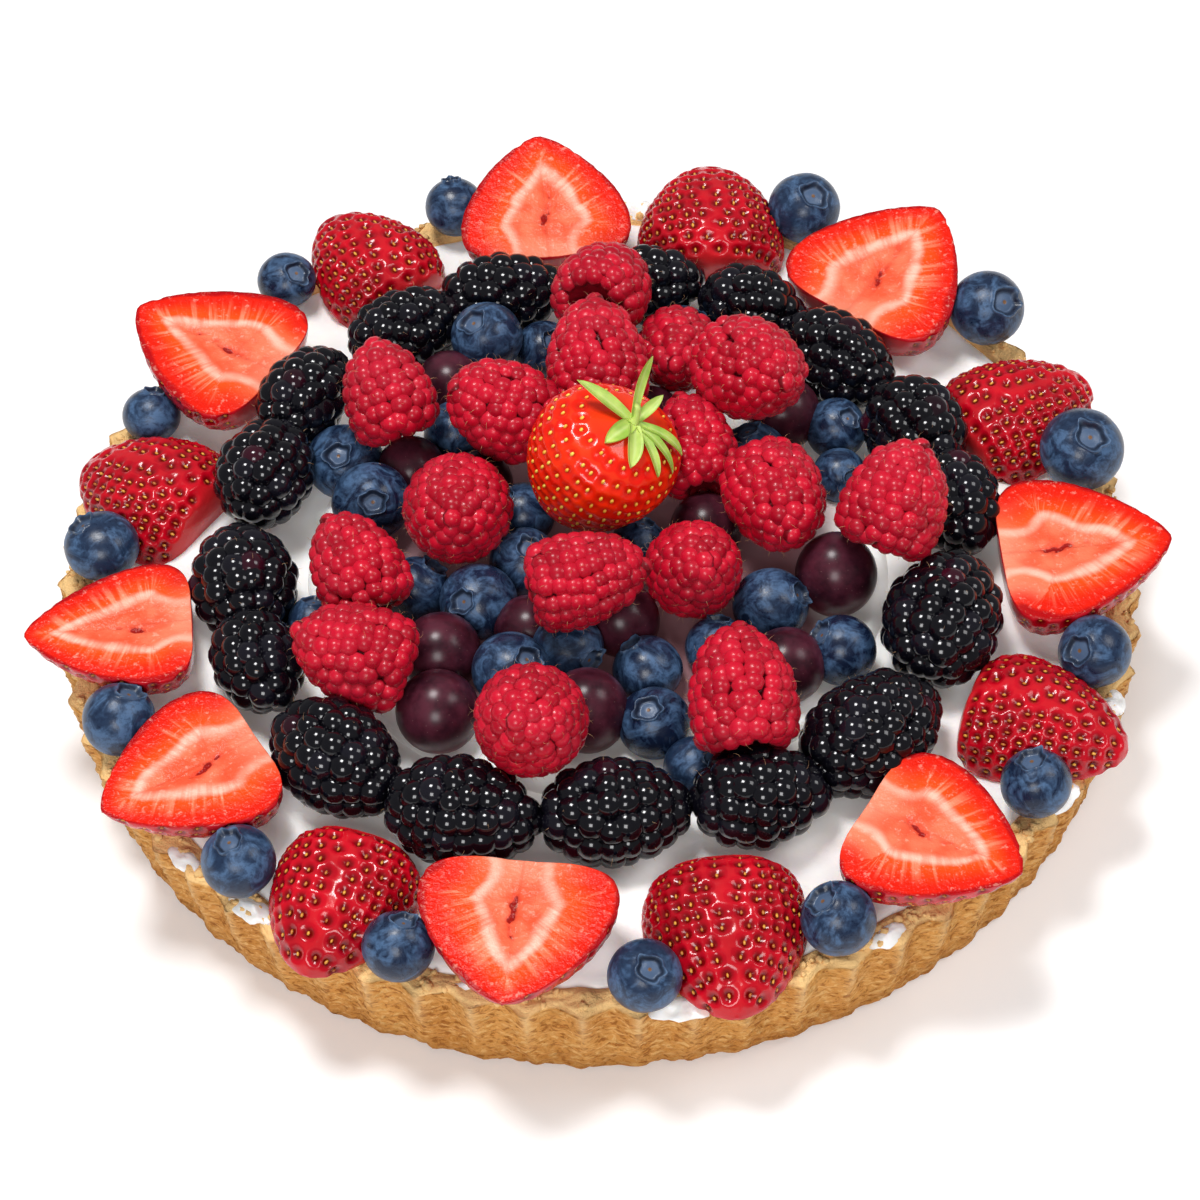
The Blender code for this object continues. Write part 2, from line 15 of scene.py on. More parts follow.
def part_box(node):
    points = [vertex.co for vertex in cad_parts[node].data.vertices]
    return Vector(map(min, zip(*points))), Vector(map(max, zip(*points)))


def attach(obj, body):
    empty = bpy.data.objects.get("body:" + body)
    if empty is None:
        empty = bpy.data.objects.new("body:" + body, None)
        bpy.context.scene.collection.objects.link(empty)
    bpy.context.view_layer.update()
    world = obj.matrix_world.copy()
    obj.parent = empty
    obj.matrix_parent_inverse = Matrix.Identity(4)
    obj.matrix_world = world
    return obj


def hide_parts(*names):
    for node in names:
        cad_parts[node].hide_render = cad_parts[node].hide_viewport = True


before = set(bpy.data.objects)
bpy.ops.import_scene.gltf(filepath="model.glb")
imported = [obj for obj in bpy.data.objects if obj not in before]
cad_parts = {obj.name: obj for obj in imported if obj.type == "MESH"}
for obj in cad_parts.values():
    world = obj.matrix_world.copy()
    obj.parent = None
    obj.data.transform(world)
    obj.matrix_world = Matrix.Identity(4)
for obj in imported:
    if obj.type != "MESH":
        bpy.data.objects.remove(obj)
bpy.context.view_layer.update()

MM = 0.001
rng = np.random.default_rng(24)

# Camera: the photograph's angle
CAMERA_DISTANCE = 792.0
CAMERA_ELEVATION = 49.95
CAMERA_LENS = 105.0
CAMERA_ROLL = -1.6
CAMERA_SHIFT = 0.0345

# Crust and cream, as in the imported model
FOOT_RADIUS = 114.4
RIM_RADIUS = 119.4
MEAN_RADIUS = 117
CRUST_HEIGHT = 26.0
WALL_THICKNESS = 7.6
FLOOR_THICKNESS = 5.0
FLUTES = 66
FLUTE_DEPTH = 1.3
CREAM_TOP = 24.1

# Strawberry halves: heading of the tip, length, width, face up, lift of the tip
STRAWBERRY_HALVES = [
    (94, 34, 40, "cut", 14),
    (90, 32, 35, "skin", 16),
    (50, 37, 42, "cut", 9),
    (27, 35, 32, "skin", 8),
    (2, 37, 40, "cut", 3),
    (-23, 35, 31, "skin", 4),
    (-31, 35, 37, "cut", -1),
    (-87, 35, 33.5, "skin", 3),
    (-98, 34, 40.5, "cut", -3),
    (-110, 33, 30.5, "skin", 3),
    (-150, 36, 36, "cut", -1),
    (-175, 36, 33, "cut", -1),
    (148, 34, 33, "skin", 5),
    (149, 38, 39, "cut", 4),
    (128, 32, 30, "skin", 13),
]
# By the face up: depth as a share of the width, power of the taper to the tip, rows, columns of skin and of cut
# face, radius and depth of a dimple
HALF_FORMS = {
    "cut": (0.34, 0.74, 60, 50, 58, 1.0, 0.75),
    "skin": (0.42, 0.58, 80, 84, 8, 1.18, 1.05),
}
SHOULDER_POWER = 0.24

# Blueberries on the rim: azimuth, diameter, height share, and where the crown faces as the photograph shows it,
# as shares of the radius to the right and upwards in the picture
RIM_BLUEBERRIES = [
    (106, 14.2, 0.98, -0.10, 0.95),
    (64, 17.0, 0.96, 0.25, 0.30),
    (38, 17.4, 0.98, 0.45, 0.10),
    (12, 18.8, 0.96, 0.12, 0.30),
    (-18, 15.6, 0.98, -0.60, 0.05),
    (-38, 14.8, 0.98, -0.20, 0.75),
    (-65.5, 15.4, 0.98, -0.50, 0.60),
    (-86.5, 15.0, 0.97, 0.15, 0.30),
    (-111.5, 14.6, 0.98, 0.22, 0.80),
    (-132, 15.4, 0.94, -0.20, 0.66),
    (-157, 15.6, 0.98, 0.40, 0.80),
    (178, 16.6, 0.84, -0.52, 0.72),
    (155, 13.2, 0.92, 0.20, 0.90),
    (129.5, 14.0, 0.86, 0.45, 0.25),
]

# Brambles: node, azimuth, radius, length, width, heading; a pair that touches shares one node
BRAMBLES = [
    (1, 104.5, 78, 29, 19, 10),
    (1, 123, 77, 28, 19, 28),
    (2, 80, 80, 25, 18, 5),
    (3, 62, 80, 25, 18, -25),
    (3, 43, 77, 30, 21, -45),
    (4, 23, 76, 26, 22, -66),
    (4, 5.5, 77, 26, 20, -78),
    (5, -20, 77, 32, 25, 70),
    (6, -46, 79, 33, 24, 38),
    (6, -67, 79, 28, 21, 5),
    (7, -88, 76, 31, 22, 4),
    (8, -111, 78, 32, 23, -14),
    (8, -133, 79, 31, 23, -42),
    (9, -154, 80, 25, 19, -66),
    (9, -171, 77, 27, 23, 100),
    (10, 166, 73, 27, 21, 72),
    (10, 147, 75, 27, 19, 62),
]
BRAMBLE_HEIGHT = 34.5

# Raspberries: length, width, heading of the tip, rise of the tip
RASPBERRIES = [
    (23, 20.5, 115, 40),
    (24, 22, 175, 35),
    (25, 24, -90, 40),
    (24, 20.5, 120, 30),
    (26, 22, 170, 20),
    (26, 20.5, 12, 5),
    (23, 21, -80, 55),
    (26, 23.5, -100, 50),
    (26, 22, -75, 10),
    (25, 23, 60, 40),
    (26, 23, -50, 25),
    (23, 19, -90, 30),
    (26, 23, 95, 30),
    (24, 22, 68, -20),
    (24, 18.5, 100, 20),
    (27, 23, 95, 30),
]

# Small blueberries of the heap: x, y, z, diameter, height share, and where the crown faces
HEAP_BLUEBERRIES = [
    (-24, 59.5, 38.5, 16.4, 0.97, -0.38, 0.40),
    (-11, 61.5, 31.5, 14.0, 0.97, 0.3, 0.3),
    (-56, 27, 33.0, 17.6, 0.92, -0.12, 0.16),
    (-49.5, 12, 36.0, 17.6, 0.95, 0.10, -0.05),
    (-31, 35.5, 31.5, 15.0, 0.97, 0.5, 0.7),
    (-16, 11, 31.5, 14.0, 0.97, -0.6, 0.5),
    (-16, -4, 32.0, 15.4, 0.97, 0.18, 0.42),
    (-39.5, -10.5, 31.5, 14.5, 0.97, 0.6, 0.7),
    (-26, -16, 33.5, 17.0, 0.95, -0.40, 0.02),
    (-7, -31, 35.0, 15.6, 0.90, 0.7, -0.4),
    (-19, -38, 36.5, 16.8, 0.95, 0.50, 0.34),
    (10, -35, 32.0, 15.0, 0.93, -0.5, 0.8),
    (11, -50.5, 33.0, 15.6, 0.98, -0.20, 0.44),
    (19, -61, 30.5, 13.0, 0.96, 0.6, 0.3),
    (25, -29, 31.0, 14.0, 0.93, 0.1, 0.95),
    (37, -19, 33.0, 16.6, 0.97, 0.8, 0.3),
    (51.5, -32, 33.0, 15.0, 1.04, -0.7, 0.5),
    (54.5, 34, 31.5, 14.0, 1.0, 0.4, 0.3),
    (36, 27, 31.0, 14.2, 0.97, -0.3, 0.8),
    (54.5, 20.5, 30.5, 12.4, 0.97, 0.5, -0.2),
    (9, 1, 30.5, 12.6, 0.97, 0.2, 0.9),
    (21, 64.5, 32.0, 14.4, 0.97, 0.7, 0.5),
    (-62, -18, 30.0, 11.4, 0.97, 0.1, 0.9),
]
HEAP_GRAPES = [
    (-34.5, -46.5, 33.5, 18.0, 1.0),
    (-3, -48, 33.5, 17.4, 1.12),
    (-34, -30, 33.0, 17.4, 1.0),
    (5, -22, 32.5, 16.2, 1.0),
    (-15, -24, 32.0, 15.6, 1.0),
    (51.5, -12, 33.5, 18.0, 1.08),
    (43, 38, 32.5, 16.6, 1.0),
    (39.5, -36, 32.5, 16.6, 1.0),
    (-32.5, 50, 32.0, 16.0, 1.0),
    (-41, 24, 31.5, 15.6, 1.0),
    (-26, 19, 31.5, 15.6, 1.0),
    (24, 4, 32.0, 16.0, 1.0),
    (12.5, 37, 32.0, 16.0, 1.0),
]
CORE_RADIUS = 64.5
CORE_FLOOR = 24.9

# Whole strawberry
CENTRE_LENGTH = 35.0
CENTRE_WIDTH = 33.0
CENTRE_AXIS = (0.49, -0.10, 0.87)
CENTRE_NUDGE = (-2.0, -2.5, -1.5)

AXIS_X = np.array([1.0, 0.0, 0.0])
AXIS_Z = np.array([0.0, 0.0, 1.0])


# Geometry helpers: everything is arrays in millimetres until a piece is made


class Shape:
    """Points, faces and one value a point for the materials, gathered for one piece."""

    def __init__(self, *names):
        self.points = []
        self.blocks = []
        self.names = names
        self.values = {name: [] for name in names}
        self.count = 0

    def add(self, points, faces, slot=0, **values):
        for block in faces:
            if len(block):
                self.blocks.append((np.asarray(block) + self.count, slot))
        self.points.append(points)
        for name in self.names:
            self.values[name].append(np.broadcast_to(values.get(name, 0.0), len(points)))
        self.count += len(points)

    def all_points(self):
        return np.concatenate(self.points)

    def rotate(self, matrix):
        self.points = [part @ matrix.T for part in self.points]

    def make(self, name, materials, offset=(0.0, 0.0, 0.0)):
        points = (self.all_points() + np.array(offset)) * MM
        mesh = bpy.data.meshes.new(name)
        mesh.vertices.add(len(points))
        mesh.vertices.foreach_set("co", points.ravel())
        corners = np.concatenate([block.ravel() for block, _ in self.blocks])
        sizes = np.concatenate([np.full(len(block), block.shape[1]) for block, _ in self.blocks])
        slots = np.concatenate([np.full(len(block), slot) for block, slot in self.blocks])
        mesh.loops.add(len(corners))
        mesh.loops.foreach_set("vertex_index", corners)
        mesh.polygons.add(len(sizes))
        mesh.polygons.foreach_set("loop_start", np.concatenate(([0], np.cumsum(sizes)[:-1])))
        mesh.update(calc_edges=True)
        for material in materials:
            mesh.materials.append(material)
        mesh.polygons.foreach_set("material_index", slots)
        mesh.shade_smooth()
        for value_name, parts in self.values.items():
            attribute = mesh.attributes.new(value_name, "FLOAT", "POINT")
            attribute.data.foreach_set("value", np.concatenate(parts).astype(np.float32))
        piece = bpy.data.objects.new(name, mesh)
        bpy.context.scene.collection.objects.link(piece)
        return piece


def grid_faces(rows, columns, first=0, closed=True):
    """Quads between rows of points; closed rows join their last point to their first."""
    row = np.arange(rows - 1)[:, None] * columns
    column = np.arange(columns if closed else columns - 1)[None, :]
    after = (column + 1) % columns
    quads = np.stack([row + column, row + after, row + columns + after, row + columns + column], axis=-1)
    return quads.reshape(-1, 4) + first


def angles_round(columns):
    return math.tau * np.arange(columns) / columns


def ring_at(radius, around, height):
    """Points round Z at these angles; the radius and the height may vary with the angle."""
    return np.stack(np.broadcast_arrays(radius * np.cos(around), radius * np.sin(around), height), axis=-1)


def poled_body(rings, start, end):
    """Points and faces of a closed body: rings of points between a point at the start and one at the end."""
    rows, columns = rings.shape[:2]
    points = np.concatenate([[start], rings.reshape(-1, 3), [end]])
    column = np.arange(columns)
    after = (column + 1) % columns
    last = 1 + (rows - 1) * columns
    start_faces = np.stack([np.zeros(columns, int), 1 + after, 1 + column], axis=-1)
    end_faces = np.stack([last + column, last + after, np.full(columns, len(points) - 1)], axis=-1)
    return points, [grid_faces(rows, columns, 1), start_faces, end_faces]


def with_poles(start, values, end):
    """Values of a poled body: one at its start, those of its rings in order, and one at its end."""
    return np.concatenate([[start], np.reshape(values, -1), [end]])


def unit_ball(columns, rows):
    """A ball of radius 1 with its poles on Z."""
    fall = (-math.pi / 2 + math.pi * np.arange(1, rows) / rows)[:, None]
    return poled_body(ring_at(np.cos(fall), angles_round(columns), np.sin(fall)), (0, 0, -1), (0, 0, 1))


def unit(steps):
    return steps / np.maximum(np.linalg.norm(steps, axis=1, keepdims=True), 1e-6)


def scatter(shape, ball, centres, normals, sizes, slot=0, along=None, **values):
    """Adds one ball at each centre, its Z along the normal and its Y near the direction along, where that is
    given; sizes are two across and one along the normal."""
    points, faces = ball
    if along is None:
        along = np.where(np.abs(normals[:, 2:]) < 0.9, [[0.0, 0.0, 1.0]], [[1.0, 0.0, 0.0]])
    first = unit(np.cross(along, normals))
    second = np.cross(normals, first)
    axes = np.stack([first, second, normals], axis=1)
    placed = centres[:, None, :] + np.einsum("vk,nk,nkj->nvj", points, sizes, axes)
    count = len(points)
    shift = (np.arange(len(centres)) * count)[:, None, None]
    blocks = [(block[None] + shift).reshape(-1, block.shape[1]) for block in faces]
    spread = {}
    for name, value in values.items():
        spread[name] = np.broadcast_to(value, (len(centres), count)).reshape(-1)
    shape.add(placed.reshape(-1, 3), blocks, slot, **spread)


def noise_of(points, scale, seed=0.0):
    """Smooth noise from -1 to 1 at each point; scale is the size of its lumps in millimetres."""
    shift = Vector((seed, 1.7 * seed, -0.6 * seed))
    values = [noise(Vector(point) / scale + shift) for point in points.reshape(-1, 3)]
    return np.array(values).reshape(points.shape[:-1])


def turn(heading, rise=0.0, flipped=False):
    angles = (math.pi if flipped else 0.0, -math.radians(rise), math.radians(heading))
    return np.array(Euler(angles, "XYZ").to_matrix())


def upright_to(direction):
    """The turn that takes Z to a direction."""
    return np.array(Vector((0, 0, 1)).rotation_difference(direction).to_matrix())


def fruit_width(share, tip_power):
    """Width of a strawberry from its shoulders at 0 to its tip at 1, as a share of its widest."""
    widest = SHOULDER_POWER / (SHOULDER_POWER + tip_power)
    peak = widest**SHOULDER_POWER * (1 - widest) ** tip_power
    share = np.clip(share, 0.0, 1.0)
    return share**SHOULDER_POWER * (1 - share) ** tip_power / peak


def whole_width(share):
    """The same for the whole strawberry, with round shoulders."""
    widest = 0.36
    share = np.clip(share, 0.0, 1.0)
    shoulder = np.sqrt(np.clip(1 - np.abs((widest - share) / widest) ** 2.3, 0, 1))
    end = np.clip(1 - (np.clip(share - widest, 0, 1) / (1 - widest)) ** 1.9, 0, 1) ** 0.75
    return np.where(share < widest, shoulder, end)


def axis_shares(rows, crowding):
    """Shares along a fruit's axis, closer together at both ends."""
    steps = np.arange(rows)
    crowded = 0.5 - 0.5 * np.cos(math.pi * (steps + 0.6) / (rows + 0.2))
    return crowding * crowded + (1 - crowding) * (steps + 0.5) / rows


def polar(radius, azimuth, height):
    angle = math.radians(azimuth)
    return np.array([radius * math.cos(angle), radius * math.sin(angle), height])


def picture_direction(right, up):
    """The direction in the tart's frame of what faces right and up by these shares in the photograph."""
    elevation = math.radians(CAMERA_ELEVATION)
    towards = math.sqrt(max(0.0, 1.0 - right * right - up * up))
    across = np.array([1.0, 0.0, 0.0])
    upward = np.array([0.0, math.sin(elevation), math.cos(elevation)])
    facing = np.array([0.0, -math.cos(elevation), math.sin(elevation)])
    direction = right * across + up * upward + towards * facing
    return direction / np.linalg.norm(direction)


def box_centre(node):
    low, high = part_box(node)
    return np.array((low + high) / 2) / MM


def seat(shape, node):
    """The shift that puts the middle of a shape's box on the middle of its node's box."""
    points = shape.all_points()
    return box_centre(node) - (points.min(axis=0) + points.max(axis=0)) / 2


def dress(piece, slot, *nodes):
    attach(piece, "root")
    if nodes:
        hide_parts(*nodes)


# Materials


class Graph:
    """Short names for the nodes of one material."""

    def __init__(self, name):
        self.material = bpy.data.materials.new(name)
        self.material.use_nodes = True
        self.nodes = self.material.node_tree.nodes
        self.links = self.material.node_tree.links
        self.surface = self.nodes["Principled BSDF"]
        self.colour = None

    def set(self, **values):
        for name, value in values.items():
            self.feed(self.surface.inputs[name.replace("_", " ")], value)

    def node(self, kind, **inputs):
        made = self.nodes.new(kind)
        for name, value in inputs.items():
            self.feed(made.inputs[name.replace("_", " ")], value)
        return made

    def feed(self, socket, value):
        if isinstance(value, bpy.types.NodeSocket):
            self.links.new(value, socket)
        else:
            socket.default_value = value

    def place(self):
        return self.node("ShaderNodeTexCoord").outputs["Object"]

    def value(self, name):
        made = self.node("ShaderNodeAttribute")
        made.attribute_name = name
        return made.outputs["Fac"]

    def noise(self, scale, detail=2.0, vector=None, roughness=0.5, distortion=0.0):
        made = self.node("ShaderNodeTexNoise", Vector=vector or self.place(), Scale=scale, Detail=detail,
                         Roughness=roughness, Distortion=distortion)
        return made.outputs["Fac"]

    def cells(self, scale, vector=None):
        made = self.node("ShaderNodeTexVoronoi", Vector=vector or self.place(), Scale=scale)
        return made.outputs["Distance"]

    def math(self, operation, first, second=0.0, clamp=False):
        made = self.nodes.new("ShaderNodeMath")
        made.operation = operation
        made.use_clamp = clamp
        self.feed(made.inputs[0], first)
        self.feed(made.inputs[1], second)
        return made.outputs[0]

    def span(self, value, low, high, to_low=0.0, to_high=1.0):
        """The value between low and high, mapped smoothly to another span."""
        made = self.node("ShaderNodeMapRange", Value=value)
        made.interpolation_type = "SMOOTHSTEP"
        for socket, number in zip(made.inputs[1:5], (low, high, to_low, to_high)):
            socket.default_value = number
        return made.outputs["Result"]

    def mix(self, share, first, second):
        made = self.nodes.new("ShaderNodeMix")
        made.data_type = "RGBA"
        self.feed(made.inputs["Factor"], share)
        for socket, colour in ((made.inputs[6], first), (made.inputs[7], second)):
            self.feed(socket, colour if isinstance(colour, bpy.types.NodeSocket) else (*colour, 1.0))
        return made.outputs[2]

    def lay(self, tint, share, strength=1.0):
        """Lays a tint over the colour so far, by a share that the strength scales."""
        if strength != 1.0:
            share = self.math("MULTIPLY", share, strength)
        self.colour = self.mix(share, self.colour, tint)

    def sway(self, value, cloud, amount):
        """The value moved up and down by a cloud of noise round 0.5."""
        return self.math("ADD", value, self.math("MULTIPLY", self.math("SUBTRACT", cloud, 0.5), amount))

    def bump(self, height, depth_mm, strength=1.0, normal=None):
        made = self.node("ShaderNodeBump", Height=height, Strength=strength, Distance=depth_mm * MM)
        if normal is not None:
            self.links.new(normal, made.inputs["Normal"])
        return made.outputs["Normal"]


def pastry_material():
    g = Graph("pastry")
    place = g.place()
    foot, ridge, top = g.value("foot"), g.value("ridge"), g.value("top")
    cloudy = g.noise(70, 3)
    flat_place = g.node("ShaderNodeMapping", Vector=place, Scale=(1, 1, 2.0)).outputs[0]
    crumb = g.noise(1100, 3, roughness=0.7)
    flakes = g.noise(480, 4, vector=flat_place, roughness=0.65, distortion=0.4)
    pits = g.cells(520, flat_place)
    g.colour = g.mix(g.span(cloudy, 0.3, 0.7), (0.59, 0.250, 0.052), (0.70, 0.330, 0.082))
    g.lay((0.84, 0.52, 0.20), g.span(flakes, 0.50, 0.66), 0.7)
    g.lay((0.33, 0.105, 0.014), g.span(flakes, 0.48, 0.36), 0.9)
    g.lay((0.36, 0.120, 0.018), g.span(pits, 0.25, 0.05), 0.5)
    g.lay((0.42, 0.160, 0.030), foot, 0.5)
    g.lay((0.88, 0.60, 0.30), ridge, 0.65)
    # the rim top and the crumbs are laid paler and more golden: partly the pale broken crumb, partly painted
    # light falling from above
    g.lay((0.97, 0.63, 0.27), top, g.span(crumb, 0.35, 0.6, 0.80, 1.0))
    normal = g.bump(crumb, 0.35, 0.5)
    normal = g.bump(flakes, 1.2, 0.85, normal)
    g.set(Base_Color=g.colour, Roughness=0.75, Normal=normal, Specular_IOR_Level=0.18)
    return g.material


def cream_material():
    g = Graph("cream")
    soft = g.noise(90, 3)
    fine = g.noise(420, 2)
    tint = g.value("tint")
    g.colour = g.mix(g.span(soft, 0.35, 0.7), (0.95, 0.93, 0.89), (0.98, 0.965, 0.94))
    # tint is set only on the heap's mound: the dark purple laid by it is painted shade in the gaps between the
    # berries
    g.lay((0.16, 0.022, 0.040), tint, 0.9)
    normal = g.bump(soft, 0.8, 0.35)
    normal = g.bump(fine, 0.2, 0.3, normal)
    # painted light: the cream glows a little in its own colour, which lifts its shade
    g.set(Base_Color=g.colour, Roughness=0.36, Normal=normal, Emission_Color=g.colour, Emission_Strength=0.09)
    g.set(Subsurface_Weight=0.35, Subsurface_Scale=0.004, Subsurface_Radius=(1.0, 0.8, 0.6))
    return g.material


# Deep, bright, pale shoulders with painted highlight on the ridges between pits, and painted shade at the
# bottom of a pit
DEEP_SKIN_COLOURS = ((0.36, 0.001, 0.009), (0.56, 0.002, 0.013), (0.68, 0.025, 0.028), (0.15, 0.001, 0.002))
BRIGHT_SKIN_COLOURS = ((0.76, 0.006, 0.002), (0.87, 0.028, 0.003), (0.90, 0.09, 0.02), (0.62, 0.012, 0.002))


def skin_material(name, deep, bright, pale_and_ridge_highlight, painted_pit_shade):
    """Strawberry skin: the dimples are in the mesh, and pit is 1 at the bottom of one. The ridges between the
    pits are painted lighter as highlight, and the pit bottoms darker as shade.
    """
    g = Graph(name)
    pit = g.value("pit")
    shade = g.noise(120, 2)
    g.colour = g.mix(g.span(shade, 0.3, 0.7), deep, bright)
    g.lay(pale_and_ridge_highlight, g.value("pale"), 0.8)
    # painted highlight: the ridges far from the seeds are laid lighter
    g.lay(pale_and_ridge_highlight, g.span(pit, 0.09, 0.01, 0.0, 0.25))
    # painted shade: the bottom of each dimple is laid darker
    g.lay(painted_pit_shade, g.span(pit, 0.10, 0.70, 0.0, 0.92))
    normal = g.bump(g.noise(1500, 2), 0.06, 0.4)
    g.set(Base_Color=g.colour, Roughness=0.20, Normal=normal, Coat_Weight=0.22, Coat_Roughness=0.05)
    g.set(Specular_IOR_Level=0.24)
    return g.material


def seed_material(name, brown, yellow):
    g = Graph(name)
    g.colour = g.mix(g.span(g.noise(300, 1), 0.35, 0.65), brown, yellow)
    g.set(Base_Color=g.colour, Roughness=0.35)
    return g.material


def flesh_material():
    """The cut face: inward is 0 at the skin and 1 on the pale line that runs inside it all round."""
    g = Graph("flesh")
    inward, run, tone = g.value("inward"), g.value("run"), g.value("tone")
    grain_and_glints = g.noise(650, 3, roughness=0.65)
    cloud = g.noise(170, 2)
    ragged = g.sway(g.sway(inward, cloud, 0.22), g.noise(60, 1), 0.5)
    along, across = g.math("MULTIPLY", run, 0.62), g.math("MULTIPLY", inward, 0.5)
    streak_at = g.node("ShaderNodeCombineXYZ", X=along, Y=across, Z=tone).outputs[0]
    streak = g.noise(1.0, 2.0, streak_at, 0.6)
    g.colour = g.mix(g.span(ragged, 0.02, 0.16), (0.42, 0.002, 0.004), (0.74, 0.012, 0.003))
    g.lay((0.88, 0.080, 0.008), g.span(ragged, 0.25, 1.0))
    rays = g.math("MULTIPLY", g.span(streak, 0.47, 0.70), g.span(inward, 0.15, 1.0, 0.0, 0.68))
    g.lay((0.93, 0.35, 0.21), rays)
    core = g.mix(g.span(cloud, 0.35, 0.65), (0.82, 0.095, 0.038), (0.88, 0.180, 0.090))
    core = g.mix(g.span(ragged, 1.5, 2.1), core, (0.76, 0.075, 0.036))
    g.lay(core, g.span(ragged, 1.0, 1.25))
    line = g.math("MULTIPLY", g.span(ragged, 0.86, 1.03), g.span(ragged, 1.26, 1.05))
    line = g.math("MULTIPLY", line, g.span(cloud, 0.25, 0.6, 0.45, 0.85))
    line = g.math("MULTIPLY", line, g.span(streak, 0.30, 0.60, 0.6, 1.0))
    g.lay((0.95, 0.55, 0.43), line)
    g.lay((0.91, 0.36, 0.23), g.value("base"), 0.5)
    # painted shade: the slit at the core is laid darker towards its middle, where the hollow falls into shade
    slit_shade = g.sway(g.value("slit"), g.noise(520, 3), 0.9)
    g.lay((0.66, 0.040, 0.020), g.span(slit_shade, 0.30, 0.62), 0.55)
    g.lay((0.27, 0.004, 0.004), g.span(slit_shade, 0.62, 0.78), 0.95)
    # painted glints: pale specks where the grain noise is high stand for the wet shine of the flesh
    g.lay((0.96, 0.55, 0.42), g.span(grain_and_glints, 0.58, 0.70), 0.3)
    normal = g.bump(grain_and_glints, 0.5, 0.8)
    normal = g.bump(streak, 0.4, 0.45, normal)
    g.set(Base_Color=g.colour, Roughness=0.25, Normal=normal, Specular_IOR_Level=0.16)
    return g.material


def blueberry_material():
    g = Graph("blueberry")
    crown, tone = g.value("crown"), g.value("tone")
    patches = g.noise(190, 4, roughness=0.62, distortion=1.2)
    fine = g.noise(900, 3, roughness=0.7)
    bloom = g.math("ADD", g.span(patches, 0.40, 0.66), g.math("MULTIPLY", tone, 0.22))
    bloom = g.math("MULTIPLY", bloom, g.span(fine, 0.3, 0.6, 0.45, 1.0), clamp=True)
    g.colour = g.mix(bloom, (0.004, 0.009, 0.030), (0.058, 0.118, 0.228))
    # painted shade: a dark ring just inside the collar, under its raised lobes
    g.lay((0.010, 0.013, 0.026), g.span(crown, 0.97, 0.88), 0.85)
    g.lay((0.065, 0.105, 0.185), g.span(crown, 0.86, 0.66))
    g.lay((0.16, 0.075, 0.030), g.span(crown, 0.20, 0.10))
    g.lay((0.10, 0.17, 0.29), g.value("lip"), 0.7)
    normal = g.bump(fine, 0.12, 0.4)
    g.set(Base_Color=g.colour, Roughness=g.span(bloom, 0.0, 1.0, 0.27, 0.45), Normal=normal)
    g.set(Specular_IOR_Level=0.34)
    return g.material


def grape_material():
    g = Graph("grape")
    haze = g.noise(150, 4, roughness=0.65)
    specks = g.cells(700)
    # painted light: the side of each grape that faces down is laid redder and lighter
    facing = g.node("ShaderNodeNewGeometry").outputs["Normal"]
    under = g.span(g.node("ShaderNodeSeparateXYZ", Vector=facing).outputs["Z"], 0.2, -0.7)
    g.colour = g.mix(g.span(haze, 0.3, 0.7), (0.022, 0.004, 0.009), (0.085, 0.016, 0.030))
    g.lay((0.16, 0.015, 0.022), under, 0.6)
    g.lay((0.35, 0.20, 0.18), g.span(specks, 0.10, 0.04), 0.35)
    g.set(Base_Color=g.colour, Roughness=0.28, Coat_Weight=0.04, Coat_Roughness=0.2, Specular_IOR_Level=0.24)
    g.set(Subsurface_Weight=0.1, Subsurface_Scale=0.003, Subsurface_Radius=(1.0, 0.2, 0.2))
    return g.material


def bramble_material():
    g = Graph("bramble")
    tone, edge = g.value("tone"), g.value("edge")
    g.colour = g.mix(g.span(tone, 0.96, 0.99), (0.0022, 0.0020, 0.0042), (0.030, 0.003, 0.010))
    g.lay((0.009, 0.008, 0.015), g.span(tone, 0.25, 0.05), 0.5)
    # painted shade: darker at the base of each drupelet and on the core between them
    g.lay((0.003, 0.001, 0.002), g.span(edge, 0.4, 1.0), 0.3)
    normal = g.bump(g.noise(900, 2), 0.05, 0.3)
    g.set(Base_Color=g.colour, Roughness=0.14, Normal=normal, Coat_Weight=0.35, Coat_Roughness=0.05)
    g.set(Specular_IOR_Level=0.26)
    return g.material


def raspberry_material():
    g = Graph("raspberry")
    tone, edge = g.value("tone"), g.value("edge")
    cloud = g.noise(90, 2)
    g.colour = g.mix(g.span(tone, 0.0, 1.0), (0.35, 0.001, 0.013), (0.56, 0.004, 0.024))
    g.lay((0.66, 0.022, 0.055), g.span(cloud, 0.45, 0.75), 0.3)
    # painted sheen: a pinker band round the side of each drupelet
    g.lay((0.70, 0.05, 0.08), g.span(edge, 0.15, 0.65), 0.15)
    # painted shade: dark at the base of each drupelet and on the core between them
    g.lay((0.15, 0.001, 0.006), g.span(edge, 0.72, 1.0))
    normal = g.bump(g.noise(1400, 2), 0.08, 0.5)
    g.set(Base_Color=g.colour, Roughness=0.32, Normal=normal, Coat_Weight=0.12, Coat_Roughness=0.10)
    g.set(Specular_IOR_Level=0.24)
    g.set(Sheen_Weight=0.02, Sheen_Roughness=0.4, Sheen_Tint=(1.0, 0.75, 0.75, 1.0))
    g.set(Subsurface_Weight=0.15, Subsurface_Scale=0.0015, Subsurface_Radius=(1.0, 0.2, 0.2))
    return g.material


def hair_material():
    g = Graph("berry_hair")
    g.colour = g.mix(g.noise(400, 1), (0.50, 0.22, 0.08), (0.75, 0.50, 0.28))
    g.set(Base_Color=g.colour, Roughness=0.5)
    return g.material


